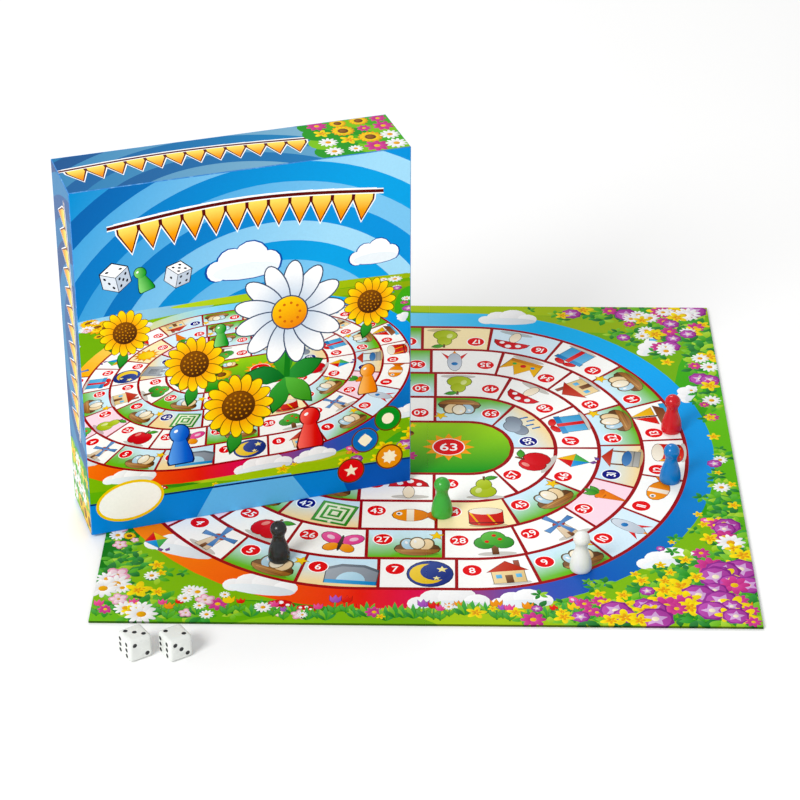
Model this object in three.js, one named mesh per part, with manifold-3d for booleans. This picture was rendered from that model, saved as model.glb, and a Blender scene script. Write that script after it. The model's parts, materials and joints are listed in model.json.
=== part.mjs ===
// A game of the goose set, in millimetres, +Z up: a quad-fold board, its box, five pawns and two dice.
import * as THREE from "three";
import { RoundedBoxGeometry } from "three/addons/geometries/RoundedBoxGeometry.js";
import { mergeVertices } from "three/addons/utils/BufferGeometryUtils.js";
import Module from "manifold-3d";

const wasm = await Module();
wasm.setup();

// Board
const boardSide = 420;
const seamGap = 0.3;
const printThickness = 0.2;
const coreThickness = 1.6;
const liningThickness = 0.2;
const tapeHalfWidth = 12;

// Pawns: a flat foot, a belly just above it, a waist, and a ball for the head
const pawnHeight = 28.5;
const pawnFootRadius = 6.2;
const pawnBellyRadius = 7.2;
const pawnBellyHeight = 2.6;
const pawnWaistRadius = 3.6;
const pawnWaistHeight = 16.4;
const pawnHeadRadius = 5.4;
const pawnTaper = 1.8;
const pawnSegments = 20;

// Dice
const dieSide = 16;
const dieEdgeRadius = 1.6;
const pipRadius = 1.4;
const pipDepth = 0.5;
const pipSpread = 4.1;
const dieTurn = 33.7;

// Box: its tray holds the folded board with a little room all round
const stowClearance = 1;
const stowHeight = 240;
const boxDepth = 54.5;
const shellThickness = 1.5;
const paperThickness = 0.2;
const glueGap = 0.1;
const lidClearance = 0.4;
const trayShows = 2.2;
const boxTurn = 19;

// Rules leaflet, folded once
const leafletWidth = 148;
const leafletHeight = 210;
const leafThickness = 0.3;
const leafletClearance = 0.3;

// Places on the board, from its middle
const pawnPlaces = {
  red: [170, 27.6],
  blue: [164.4, -38.8],
  green: [10, -84],
  white: [99.2, -147.6],
  black: [-95, -139],
};
const diePlaces = {
  left: { at: [-177.5, -242.2], up: 3, front: 2, left: 6 },
  right: { at: [-152.9, -241.7], up: 2, front: 3, left: 6 },
};
const boxCorner = [-219.4, -113.3];

// Derived heights and sizes
const halfBoard = boardSide / 2;
const coreBottom = liningThickness;
const printBottom = coreBottom + coreThickness;
const boardTop = printBottom + printThickness;
const skin = paperThickness + glueGap;
const trayInner = [halfBoard + 2 * stowClearance, stowHeight];
const trayOuter = trayInner.map((side) => side + 2 * shellThickness);
const lidInner = trayOuter.map((side) => side + 2 * (skin + lidClearance));
const lidOuter = lidInner.map((side) => side + 2 * shellThickness);
const wrapOuter = lidOuter.map((side) => side + 2 * skin);

const finish = (color, roughness, metalness = 0) =>
  new THREE.MeshStandardMaterial({ color, roughness, metalness });

const greyboard = finish("#8d8578", 0.9);
const printedSheet = finish("#7fb8d8", 0.35);
const liningPaper = finish("#e6e1d6", 0.85);
const linenTape = finish("#26324a", 0.8);
const lidPaper = finish("#1f6fc0", 0.35);
const trayPaper = finish("#f2f0ea", 0.6);
const leafletPaper = finish("#faf8f2", 0.8);
const diePlastic = finish("#f4f2ec", 0.25);
const pawnPlastics = {
  red: finish("#d3122a", 0.18),
  blue: finish("#1c4fc4", 0.18),
  green: finish("#12a03c", 0.18),
  white: finish("#f2f2f0", 0.18),
  black: finish("#16171a", 0.18),
};

// A closed body of a three.js geometry, for booleans
function solid(geometry) {
  const bare = geometry.clone();
  bare.deleteAttribute("normal");
  bare.deleteAttribute("uv");
  const merged = mergeVertices(bare, 1e-4);
  const mesh = new wasm.Mesh({
    numProp: 3,
    vertProperties: new Float32Array(merged.attributes.position.array),
    triVerts: new Uint32Array(merged.index.array),
  });
  return new wasm.Manifold(mesh);
}

function fromSolid(body) {
  const mesh = body.getMesh();
  const geometry = new THREE.BufferGeometry();
  geometry.setAttribute("position", new THREE.BufferAttribute(new Float32Array(mesh.vertProperties), 3));
  geometry.setIndex(new THREE.BufferAttribute(new Uint32Array(mesh.triVerts), 1));
  geometry.computeVertexNormals();
  return geometry;
}

// A box between two opposite corners
function block(low, high) {
  const size = high.map((value, i) => value - low[i]);
  const geometry = new THREE.BoxGeometry(...size);
  return geometry.translate(...low.map((value, i) => value + size[i] / 2));
}

function piece(name, geometry, material) {
  const mesh = new THREE.Mesh(geometry, material);
  mesh.name = name;
  return mesh;
}

// One quarter of the board. sideX and sideY are -1 or 1 for the side of the middle it lies on.
function boardQuarter(name, sideX, sideY) {
  const layer = (fromSeam, toSeam, bottom, top) => {
    const x = [sideX * (seamGap / 2), sideX * halfBoard].sort((a, b) => a - b);
    const y = [sideY * fromSeam, sideY * toSeam].sort((a, b) => a - b);
    return block([x[0], y[0], bottom], [x[1], y[1], top]);
  };
  const quarter = new THREE.Group();
  quarter.add(
    piece(`board_core_${name}`, layer(seamGap / 2, halfBoard, coreBottom, printBottom), greyboard),
    piece(`board_print_${name}`, layer(seamGap / 2, halfBoard, printBottom, boardTop), printedSheet),
    piece(`board_lining_${name}`, layer(tapeHalfWidth, halfBoard, 0, liningThickness), liningPaper),
    piece(`hinge_tape_${name}`, layer(seamGap / 2, tapeHalfWidth, 0, liningThickness), linenTape),
  );
  return quarter;
}

// The outline that a pawn is turned from
function pawnOutline() {
  const points = [[0, 0]];
  const bellySteps = 4;
  for (let i = 0; i <= bellySteps; i += 1) {
    const angle = (Math.PI / 2) * (i / bellySteps);
    const radius = pawnFootRadius + (pawnBellyRadius - pawnFootRadius) * Math.sin(angle);
    points.push([radius, pawnBellyHeight * (1 - Math.cos(angle))]);
  }
  const bodySteps = 7;
  for (let i = 1; i <= bodySteps; i += 1) {
    const rise = i / bodySteps;
    const radius = pawnWaistRadius + (pawnBellyRadius - pawnWaistRadius) * (1 - rise ** pawnTaper);
    points.push([radius, pawnBellyHeight + (pawnWaistHeight - pawnBellyHeight) * rise]);
  }
  const headSteps = 8;
  const headMiddle = pawnHeight - pawnHeadRadius;
  const start = -Math.acos(pawnWaistRadius / pawnHeadRadius);
  for (let i = 0; i < headSteps; i += 1) {
    const angle = start + (Math.PI / 2 - start) * (i / headSteps);
    points.push([pawnHeadRadius * Math.cos(angle), headMiddle + pawnHeadRadius * Math.sin(angle)]);
  }
  points.push([0, pawnHeight]);
  return points.map(([radius, height]) => new THREE.Vector2(radius, height));
}

function pawn(colour) {
  const turned = new THREE.LatheGeometry(pawnOutline(), pawnSegments);
  turned.rotateX(Math.PI / 2);
  const standing = piece(`pawn_${colour}`, fromSolid(solid(turned)), pawnPlastics[colour]);
  standing.position.set(...pawnPlaces[colour], boardTop);
  return standing;
}

// Where the pips of each number lie on a face, in units of pipSpread
const pipPatterns = {
  1: [[0, 0]],
  2: [[-1, 1], [1, -1]],
  3: [[-1, 1], [0, 0], [1, -1]],
  4: [[-1, -1], [-1, 1], [1, -1], [1, 1]],
  5: [[-1, -1], [-1, 1], [0, 0], [1, -1], [1, 1]],
  6: [[-1, -1], [0, -1], [1, -1], [-1, 1], [0, 1], [1, 1]],
};

// A die about its own centre. Opposite faces add up to seven.
function die(name) {
  const { at, up, front, left } = diePlaces[name];
  const half = dieSide / 2;
  const faces = [
    { number: up, turn: new THREE.Euler(0, 0, 0) },
    { number: 7 - up, turn: new THREE.Euler(Math.PI, 0, 0) },
    { number: front, turn: new THREE.Euler(Math.PI / 2, 0, 0) },
    { number: 7 - front, turn: new THREE.Euler(-Math.PI / 2, 0, 0) },
    { number: left, turn: new THREE.Euler(0, -Math.PI / 2, 0) },
    { number: 7 - left, turn: new THREE.Euler(0, Math.PI / 2, 0) },
  ];
  const steps = 3;
  let body = solid(new RoundedBoxGeometry(dieSide, dieSide, dieSide, steps, dieEdgeRadius));
  for (const { number, turn } of faces) {
    const matrix = new THREE.Matrix4().makeRotationFromEuler(turn);
    for (const [across, along] of pipPatterns[number]) {
      const pip = new THREE.CylinderGeometry(pipRadius, pipRadius, 2 * pipDepth, 12);
      pip.rotateX(Math.PI / 2);
      pip.translate(across * pipSpread, along * pipSpread, half);
      pip.applyMatrix4(matrix);
      body = body.subtract(solid(pip));
    }
  }
  const lying = piece(`die_${name}`, fromSolid(body), diePlastic);
  lying.position.set(...at, half);
  lying.rotation.z = THREE.MathUtils.degToRad(dieTurn);
  return lying;
}

// A five-walled cup, open along the box's depth. The plan sides are about the box's middle axis.
function cup(outer, inner, closedFrom, closedTo, openTo) {
  const spread = (sides, from, to) => {
    const [y0, y1] = [from, to].sort((a, b) => a - b);
    return block([-sides[0] / 2, y0, -sides[1] / 2], [sides[0] / 2, y1, sides[1] / 2]);
  };
  const past = openTo + Math.sign(openTo - closedTo);
  return solid(spread(outer, closedFrom, openTo)).subtract(solid(spread(inner, closedTo, past)));
}

// A paper skin round the outside of a shell, turned over its rim
function wrap(shellOuter, shellInner, closedFrom, openTo) {
  const way = Math.sign(openTo - closedFrom);
  const outer = shellOuter.map((side) => side + 2 * skin);
  const hollow = shellOuter.map((side) => side + 2 * glueGap);
  const rim = openTo - way * paperThickness;
  const sleeve = cup(outer, hollow, closedFrom, closedFrom + way * paperThickness, openTo);
  const lip = cup(outer, shellInner, rim, rim, openTo);
  return sleeve.add(lip);
}

// The upright box: depth runs along Y from the lid's printed face to the tray's bottom.
function gameBox() {
  const lidFace = skin + shellThickness;
  const lidRim = boxDepth - trayShows;
  const trayRim = lidFace + lidClearance;
  const trayFloor = boxDepth - skin - shellThickness;
  const lid = new THREE.Group();
  const lidShell = cup(lidOuter, lidInner, skin, lidFace, lidRim - skin);
  lid.add(
    piece("lid_board", fromSolid(lidShell), greyboard),
    piece("lid_wrap", fromSolid(wrap(lidOuter, lidInner, 0, lidRim)), lidPaper),
  );
  const tray = new THREE.Group();
  const trayShell = cup(trayOuter, trayInner, boxDepth - skin, trayFloor, trayRim + skin);
  tray.add(
    piece("tray_board", fromSolid(trayShell), greyboard),
    piece("tray_wrap", fromSolid(wrap(trayOuter, trayInner, boxDepth, trayRim)), trayPaper),
    rulesLeaflet(trayFloor),
  );
  const box = new THREE.Group();
  box.add(lid, tray);
  box.rotation.z = THREE.MathUtils.degToRad(boxTurn);
  const toMiddle = new THREE.Vector3(wrapOuter[0] / 2, 0, wrapOuter[1] / 2);
  toMiddle.applyEuler(box.rotation);
  box.position.set(boxCorner[0] + toMiddle.x, boxCorner[1] + toMiddle.y, boardTop + toMiddle.z);
  return box;
}

// Two leaves joined along the left edge, standing on the tray's lower wall against its bottom
function rulesLeaflet(trayFloor) {
  const back = trayFloor - leafletClearance;
  const front = back - 3 * leafThickness;
  const low = -trayInner[1] / 2 + leafletClearance;
  const sheet = block([-leafletWidth / 2, front, low], [leafletWidth / 2, back, low + leafletHeight]);
  const slotLow = [-leafletWidth / 2 + leafThickness, front + leafThickness, low - 1];
  const slotHigh = [leafletWidth / 2 + 1, back - leafThickness, low + leafletHeight + 1];
  return piece("rules_leaflet", fromSolid(solid(sheet).subtract(solid(block(slotLow, slotHigh)))), leafletPaper);
}

const set = new THREE.Group();
set.name = "goose_game_set";
for (const [row, sideY] of [["front", -1], ["back", 1]]) {
  set.add(boardQuarter(`${row}_left`, -1, sideY), boardQuarter(`${row}_right`, 1, sideY));
}
set.add(...Object.keys(pawnPlaces).map(pawn), ...Object.keys(diePlaces).map(die), gameBox());

// The origin is the middle of the set's footprint, at the height it rests on.
set.updateMatrixWorld(true);
const footprint = new THREE.Box3().setFromObject(set, true).getCenter(new THREE.Vector3());
set.position.set(-footprint.x, -footprint.y, 0);

export default set;
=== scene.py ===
# %% [markdown]
# # A game of the goose set, dressed in Blender
# The set lies ready for play: a folding board, its box standing on it, five pawns and two dice.
# The CAD model gives every piece its place and its joints. This lesson gives the pieces their looks:
# printed paper, greyboard, linen tape and moulded plastic. All lengths are metres unless a name says mm.

# %% Load the frame
import bisect
import json
import math
import random

import bpy
from mathutils import Matrix, Vector
from mathutils.geometry import delaunay_2d_cdt


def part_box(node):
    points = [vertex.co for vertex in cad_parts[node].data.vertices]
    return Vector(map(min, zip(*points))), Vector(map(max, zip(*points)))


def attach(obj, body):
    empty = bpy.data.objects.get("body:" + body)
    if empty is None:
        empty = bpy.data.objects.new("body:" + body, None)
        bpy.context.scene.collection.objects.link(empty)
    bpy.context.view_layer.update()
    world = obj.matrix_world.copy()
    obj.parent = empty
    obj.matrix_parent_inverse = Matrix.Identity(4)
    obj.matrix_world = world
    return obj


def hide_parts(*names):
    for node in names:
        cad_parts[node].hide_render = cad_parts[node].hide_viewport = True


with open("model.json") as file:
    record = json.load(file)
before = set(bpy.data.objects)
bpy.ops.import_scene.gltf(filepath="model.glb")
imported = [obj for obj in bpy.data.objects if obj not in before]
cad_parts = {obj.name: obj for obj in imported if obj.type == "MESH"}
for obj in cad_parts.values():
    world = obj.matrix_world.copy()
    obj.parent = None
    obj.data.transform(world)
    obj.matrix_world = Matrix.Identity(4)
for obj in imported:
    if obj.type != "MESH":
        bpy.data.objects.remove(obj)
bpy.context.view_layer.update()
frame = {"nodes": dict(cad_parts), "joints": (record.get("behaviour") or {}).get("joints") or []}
nodes = frame["nodes"]
MM = 0.001

# %% [markdown]
# ## Where things are
# The board's middle is the natural origin for its artwork, and the box stands turned on the board.
# Both places could be typed in again, but they are read from the frame here, so they follow the CAD model.
# The tray's slide runs along the box's depth, so its axis gives the box's own directions.

# %% Board middle and the box's own directions
board_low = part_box("board_print_front_left")[0]
board_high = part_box("board_print_back_right")[1]
board_middle = (board_low + board_high) / 2
half_board_mm = (board_high.x - board_low.x) / 2 / MM
slide = next(joint for joint in frame["joints"] if joint["name"] == "tray_slide")
deep = Vector(slide["axis"]).normalized()
wide = Vector((deep.y, -deep.x, 0))
high = Vector((0, 0, 1))


def box_extent(node):
    """Lowest and highest of a node's points along the box's width, depth and height."""
    spots = [vertex.co for vertex in nodes[node].data.vertices]
    ways = [[spot.dot(way) for spot in spots] for way in (wide, deep, high)]
    return [min(way) for way in ways], [max(way) for way in ways]


lid_low, lid_high = box_extent("lid_wrap")
lid_size_mm = [(top - bottom) / MM for bottom, top in zip(lid_low, lid_high)]
box_turn = Matrix((wide, deep, high)).transposed().to_4x4()
box_corner = box_turn @ Vector(lid_low)
print("board half side", round(half_board_mm, 2), "mm; lid", [round(s, 1) for s in lid_size_mm], "mm")

# %% [markdown]
# ## Camera, light and floor
# The picture is taken from in front and above with a long lens, so the board narrows only a little.
# A big soft lamp from the front left, a weaker one from behind and a pale world give studio light with soft
# shadows. The floor is a plain pale sheet, and it is staging, not part of the set.

# %% Camera
CAMERA_FROM_BOARD = Vector((0.0056, -1.5734, 0.9531))
CAMERA_DOWN, CAMERA_TURN = 30.1, 0.9
LENS_MM, CLIP_END = 119.7, 50
bpy.ops.object.select_all(action="DESELECT")
bpy.ops.object.camera_add(
    location=Vector((board_middle.x, board_middle.y, 0)) + CAMERA_FROM_BOARD,
    rotation=(math.radians(90 - CAMERA_DOWN), 0, math.radians(CAMERA_TURN)),
)
camera = bpy.context.object
camera.data.lens = LENS_MM
camera.data.clip_end = CLIP_END
bpy.context.scene.camera = camera
print("camera at", [round(value, 3) for value in camera.location])

# %% Lamps and world
LAMPS = {
    "key": ((-1.3, -1.8, 1.6), 0.9, 46),
    "back": ((-0.5, 1.7, 2.3), 1.0, 22),
}
LAMP_AIM = Vector((0, 0, 0.08))
WORLD_STRENGTH = 0.56
for name, (spot, size, watts) in LAMPS.items():
    aim = (LAMP_AIM - Vector(spot)).to_track_quat("-Z", "Y").to_euler()
    bpy.ops.object.light_add(type="AREA", location=spot, rotation=aim)
    lamp = bpy.context.object
    lamp.name = "lamp_" + name
    lamp.data.size = size
    lamp.data.energy = watts
world = bpy.data.worlds.new("pale_studio")
world.use_nodes = True
world.node_tree.nodes["Background"].inputs["Color"].default_value = (1, 1, 1, 1)
world.node_tree.nodes["Background"].inputs["Strength"].default_value = WORLD_STRENGTH
bpy.context.scene.world = world
bpy.context.scene.view_settings.view_transform = "Standard"
print("lamps:", list(LAMPS))

# %% [markdown]
# ## Materials: two small helpers
# Colours are written as the sRGB hex values that a designer reads off a screen. Blender's shaders work in
# linear light, so one function converts them. One more function adds a node, sets it up and links it.

# %% Helpers for materials
def linear(colour):
    """A hex colour such as #2266aa as linear RGBA."""
    parts = [int(colour[i:i + 2], 16) / 255 for i in (1, 3, 5)]
    return tuple(c / 12.92 if c <= 0.04045 else ((c + 0.055) / 1.055) ** 2.4 for c in parts) + (1.0,)


def add(tree, kind, inputs, **settings):
    """Adds a node. inputs maps a socket's name or number to a value, or to another node's output."""
    made = tree.nodes.new("ShaderNode" + kind)
    for name, value in settings.items():
        setattr(made, name, value)
    for socket, value in inputs.items():
        if isinstance(value, bpy.types.NodeSocket):
            tree.links.new(value, made.inputs[socket])
        else:
            made.inputs[socket].default_value = value
    return made


def start_material(name, roughness, ior=1.5):
    """A new material, its tree, its shader and its Object coordinates."""
    material = bpy.data.materials.new(name)
    material.use_nodes = True
    tree = material.node_tree
    shader = tree.nodes["Principled BSDF"]
    shader.inputs["Roughness"].default_value = roughness
    shader.inputs["IOR"].default_value = ior
    spot = add(tree, "TexCoord", {}).outputs["Object"]
    return material, tree, shader, spot


# %% [markdown]
# ## The floor
# A seamless paper sweep is almost white and quite matt. A faint cloudiness, half a metre wide, keeps it
# from looking like a flat colour.

# %% Floor
FLOOR_WIDE = 8
sweep, tree, shader, spot = start_material("white_paper_sweep", 0.9)
cloudiness = add(tree, "TexNoise", {"Vector": spot, "Scale": 1 / 0.5, "Detail": 2.0}).outputs["Fac"]
tint = add(tree, "Mix", {0: cloudiness, 6: linear("#fbfbfa"), 7: linear("#fefefe")}, data_type="RGBA")
tree.links.new(tint.outputs[2], shader.inputs["Base Color"])
bpy.ops.object.select_all(action="DESELECT")
bpy.ops.mesh.primitive_plane_add(size=FLOOR_WIDE)
floor = bpy.context.object
floor.name = "floor"
floor.data.materials.append(sweep)
print("floor", round(floor.dimensions.x, 1), "m wide")

# %% [markdown]
# ## Printed paper
# The board's face and the box's wrap are coated art paper, printed in offset inks and varnished. The inks
# come from the sheet's own colour attribute, and a Gamma node deepens the middle tones as dot gain does on
# a press. The varnish is thin, so its specular level is low and the colours stay deep. It is a little uneven,
# as on any sheet glued over greyboard: a soft ripple of about 2 mm, which shows in the gloss only.

# %% Printed paper
printed_paper, tree, shader, spot = start_material("offset_printed_art_paper", 0.34)
ink = add(tree, "Attribute", {}, attribute_name="ink").outputs["Color"]
mottle = add(tree, "TexNoise", {"Vector": spot, "Scale": 1 / 0.0016, "Detail": 4.0}).outputs["Fac"]
shade = add(tree, "MapRange", {"Value": mottle, "To Min": 0.95, "To Max": 1.05}).outputs["Result"]
gained = add(tree, "Gamma", {"Color": ink, "Gamma": 1.2}).outputs["Color"]
toned = add(tree, "HueSaturation", {"Saturation": 1.06, "Value": shade, "Color": gained}).outputs["Color"]
tree.links.new(toned, shader.inputs["Base Color"])
shader.inputs["Specular IOR Level"].default_value = 0.06
sheen = add(tree, "MapRange", {"Value": mottle, "To Min": 0.28, "To Max": 0.42}).outputs["Result"]
tree.links.new(sheen, shader.inputs["Roughness"])
ripple = add(tree, "TexNoise", {"Vector": spot, "Scale": 1 / 0.002, "Detail": 2.0}).outputs["Fac"]
bump = add(tree, "Bump", {"Height": ripple, "Strength": 0.12, "Distance": 0.0001})
tree.links.new(bump.outputs["Normal"], shader.inputs["Normal"])
print("made", printed_paper.name)

# %% [markdown]
# ## Greyboard, lining paper and linen tape
# Greyboard is pressed waste paper: grey-brown, matt and full of flecks. The lining is plain uncoated paper
# with soft fibres. The hinge tape is linen in a plain weave, drawn by two crossed waves. Its threads are half
# a millimetre apart, which is too fine to show, so they are drawn 2 mm apart.

# %% Greyboard, lining paper and linen tape
def fibre_paper(name, dark, pale, fleck_mm, roughness, depth=0.00006):
    """An uncoated paper or board: two tones of fibre, with a slight tooth."""
    material, tree, shader, spot = start_material(name, roughness)
    long = add(tree, "Mapping", {"Vector": spot, "Scale": (1.0, 3.0, 1.0)}).outputs["Vector"]
    fibre = add(tree, "TexNoise", {"Vector": long, "Scale": 1 / (fleck_mm * MM), "Detail": 6.0,
                                   "Roughness": 0.7}).outputs["Fac"]
    sharper = add(tree, "MapRange", {"Value": fibre, "From Min": 0.35, "From Max": 0.65}).outputs["Result"]
    tone = add(tree, "Mix", {0: sharper, 6: linear(dark), 7: linear(pale)}, data_type="RGBA")
    tree.links.new(tone.outputs[2], shader.inputs["Base Color"])
    bump = add(tree, "Bump", {"Height": fibre, "Strength": 0.4, "Distance": depth})
    tree.links.new(bump.outputs["Normal"], shader.inputs["Normal"])
    return material


greyboard = fibre_paper("pressed_greyboard", "#857d70", "#b3ab9c", 1.4, 0.92)
lining_paper = fibre_paper("uncoated_lining_paper", "#dcd6c8", "#ece8dd", 2.5, 0.85)
tray_paper = fibre_paper("white_wrap_paper", "#e9e7e1", "#f7f5f0", 3.0, 0.6, 0.00003)

THREAD_MM = 2.0
WAVE_RADIANS = 20  # what a wave texture runs through in each unit
thread_scale = math.tau / WAVE_RADIANS / (THREAD_MM * MM)
linen_tape, tree, shader, spot = start_material("bookbinders_linen", 0.8)
threads = []
for way in ("X", "Y"):
    threads.append(add(tree, "TexWave", {"Vector": spot, "Scale": thread_scale, "Distortion": 0.6,
                                         "Detail": 1.0}, bands_direction=way).outputs["Fac"])
weave = add(tree, "Math", {0: threads[0], 1: threads[1]}, operation="MULTIPLY").outputs["Value"]
tone = add(tree, "Mix", {0: weave, 6: linear("#161f33"), 7: linear("#3a4a6b")}, data_type="RGBA")
tree.links.new(tone.outputs[2], shader.inputs["Base Color"])
bump = add(tree, "Bump", {"Height": weave, "Strength": 0.6, "Distance": 0.00015})
tree.links.new(bump.outputs["Normal"], shader.inputs["Normal"])
print("made", greyboard.name, lining_paper.name, tray_paper.name, linen_tape.name)

# %% [markdown]
# ## Pieces that keep their CAD shape
# The board's cores, linings and tapes and the shells of the box are plain flat sheets. They could be modelled
# again, but their CAD meshes are already right, so all that they get is a material.

# %% Dress the CAD nodes that keep their shape
KEPT = {"board_core": greyboard, "board_lining": lining_paper, "hinge_tape": linen_tape,
        "lid_board": greyboard, "tray_board": greyboard, "tray_wrap": tray_paper}
for name, node in nodes.items():
    for start, material in KEPT.items():
        if name.startswith(start):
            node.data.materials.clear()
            node.data.materials.append(material)
print("dressed the board's cores, linings and tapes, and the box's shells")

# %% [markdown]
# ## Drawing with flat shapes
# The printed picture is a list of flat shapes in millimetres, painted one over the other as with cut paper.
# A shape is a list of points and a paint. A paint is one colour, or two colours and the two points that it
# fades between. An image texture would do the same job, but shapes stay sharp at any distance. First come
# the outlines that nearly every motif is made of.

# %% Outlines
def oval(x, y, across, along=None, turn=0, count=14):
    """Points of an ellipse, turned by some degrees."""
    along = along or across
    c, s = math.cos(math.radians(turn)), math.sin(math.radians(turn))
    points = []
    for i in range(count):
        angle = math.tau * i / count
        u, v = across * math.cos(angle), along * math.sin(angle)
        points.append((x + c * u - s * v, y + s * u + c * v))
    return points


def star(x, y, reach, waist=0.45, rays=5, turn=90):
    """Points of a star whose first ray points along turn."""
    points = []
    for i in range(2 * rays):
        angle = math.radians(turn) + math.pi * i / rays
        radius = reach if i % 2 == 0 else reach * waist
        points.append((x + radius * math.cos(angle), y + radius * math.sin(angle)))
    return points


def slab(left, low, right, top):
    """Points of an upright rectangle."""
    return [(left, low), (right, low), (right, top), (left, top)]


def leaf(x, y, length, width, turn):
    """Points of a pointed leaf that starts at x, y."""
    c, s = math.cos(math.radians(turn)), math.sin(math.radians(turn))
    edge = [(length * i / 5, width * math.sin(math.pi * i / 5)) for i in range(6)]
    edge += [(length * i / 5, -width * math.sin(math.pi * i / 5)) for i in range(4, 0, -1)]
    return [(x + c * u - s * v, y + s * u + c * v) for u, v in edge]


samples = (oval(0, 0, 1), star(0, 0, 1), leaf(0, 0, 1, 1, 0))
print("points of an oval, a star and a leaf:", [len(points) for points in samples])

# %% [markdown]
# ## Paint and place
# Children's prints look airbrushed and have drawn contours. A fade across each shape gives the first, and a
# darker and slightly larger copy under it gives the second. Every motif is drawn once round the origin and
# then placed as often as needed.

# %% Shading, contours and placing
def mixed(first, second, share):
    """A hex colour part of the way between two."""
    pairs = [(int(first[i:i + 2], 16), int(second[i:i + 2], 16)) for i in (1, 3, 5)]
    return "#" + "".join(f"{round(a + (b - a) * share):02x}" for a, b in pairs)


def shaded(art, lift=0.24, sink=0.09):
    """Art with every plain colour airbrushed from a lit upper left to a darker lower right."""
    made = []
    for points, paint in art:
        if isinstance(paint, str):
            xs, ys = [p[0] for p in points], [p[1] for p in points]
            lit, dark = mixed(paint, "#ffffff", lift), mixed(paint, "#000000", sink)
            paint = (lit, dark, (min(xs), max(ys)), (max(xs), min(ys)))
        made.append((points, paint))
    return made


def inked(art, line=0.3):
    """Art on darker copies of its shapes, larger by a line's width, which leave a drawn contour round it."""
    rims = []
    for points, paint in art:
        x, y = [sum(p[i] for p in points) / len(points) for i in (0, 1)]
        grow = 1 + line * len(points) / sum(math.dist(p, (x, y)) for p in points)
        dark = mixed(paint if isinstance(paint, str) else paint[1], "#1c1414", 0.5)
        rims.append(([(x + grow * (u - x), y + grow * (v - y)) for u, v in points], dark))
    return rims + art


def dimmed(art, amount):
    """The same art in darker inks, used here to paint shade."""
    made = []
    for points, paint in art:
        colours = (paint,) if isinstance(paint, str) else paint[:2]
        darker = tuple(mixed(colour, "#000000", amount) for colour in colours)
        made.append((points, darker[0] if isinstance(paint, str) else (*darker, *paint[2:])))
    return made


def sent(art, move):
    """A copy of some art, with its points and its fades sent through a function."""
    made = []
    for points, paint in art:
        if not isinstance(paint, str):
            paint = (*paint[:2], move(paint[2]), move(paint[3]))
        made.append(([move(point) for point in points], paint))
    return made


def placed(art, x, y, size=1.0, turn=0.0):
    """A copy of some art, scaled, turned by some degrees and moved."""
    c, s = size * math.cos(math.radians(turn)), size * math.sin(math.radians(turn))
    return sent(art, lambda point: (x + c * point[0] - s * point[1], y + s * point[0] + c * point[1]))


print("half of red in white is", mixed("#ffffff", "#ff0000", 0.5))

# %% [markdown]
# ## Cutting a printed sheet
# Stacked shapes would need a gap between each layer, so the sheet is cut instead: Blender's planar
# triangulation splits it along the edge of every shape, and each face takes the topmost paint over it.
# The face colours go into an attribute, and the rim is extruded down to give the paper its thickness.

# %% Cut a flat sheet along its shapes
PAPER = "#f4f1ea"


def shapes_over(outline, art):
    """The paper and the shapes of the art that touch it. The triangulation wants them counter-clockwise."""
    left, right = min(p[0] for p in outline), max(p[0] for p in outline)
    low, top = min(p[1] for p in outline), max(p[1] for p in outline)
    shapes = [(outline, PAPER)]
    for points, paint in art:
        xs, ys = [p[0] for p in points], [p[1] for p in points]
        if max(xs) > left and min(xs) < right and max(ys) > low and min(ys) < top:
            area = sum(a[0] * b[1] - b[0] * a[1] for a, b in zip(points, points[1:] + points[:1]))
            shapes.append((points if area > 0 else points[::-1], paint))
    return shapes


def cut_flat(name, shapes):
    """A flat sheet cut along every shape. Each face keeps the number of the topmost shape over it."""
    spots, rings = [], []
    for points, _ in shapes:
        rings.append(list(range(len(spots), len(spots) + len(points))))
        spots.extend(Vector(point) for point in points)
    corners, _, faces, _, _, covers = delaunay_2d_cdt(spots, [], rings, 1, 1e-4)
    kept = [(face, max(over)) for face, over in zip(faces, covers) if 0 in over]
    mesh = bpy.data.meshes.new(name)
    mesh.from_pydata([(x, y, 0) for x, y in corners], [], [face for face, _ in kept])
    mesh.attributes.new("shape", "INT", "FACE").data.foreach_set("value", [shape for _, shape in kept])
    sheet = bpy.data.objects.new(name, mesh)
    bpy.context.scene.collection.objects.link(sheet)
    return sheet


# %% Thicken and ink a sheet
def select_only(thing):
    """Makes one object the active one and the only one selected."""
    bpy.ops.object.select_all(action="DESELECT")
    bpy.context.view_layer.objects.active = thing
    thing.select_set(True)


def thicken(sheet, thickness):
    """Extrudes the sheet's rim down, as by hand in Edit Mode, and closes the underside."""
    select_only(sheet)
    bpy.ops.object.mode_set(mode="EDIT")
    bpy.ops.mesh.select_all(action="SELECT")
    bpy.ops.mesh.delete_loose()
    bpy.ops.mesh.select_all(action="SELECT")
    bpy.ops.mesh.region_to_loop()
    bpy.ops.mesh.extrude_edges_move(TRANSFORM_OT_translate={"value": (0, 0, -thickness)})
    bpy.ops.mesh.edge_face_add()
    bpy.ops.mesh.select_all(action="SELECT")
    bpy.ops.mesh.normals_make_consistent(inside=False)
    bpy.ops.object.mode_set(mode="OBJECT")


def painted(paint, x, y):
    """The linear colour of a paint at a point."""
    if isinstance(paint, str):
        return linear(paint)
    first, second, (x0, y0), (x1, y1) = paint
    across = ((x - x0) * (x1 - x0) + (y - y0) * (y1 - y0)) / ((x1 - x0) ** 2 + (y1 - y0) ** 2)
    share = min(max(across, 0.0), 1.0)
    return tuple(a + (b - a) * share for a, b in zip(linear(first), linear(second)))


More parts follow.
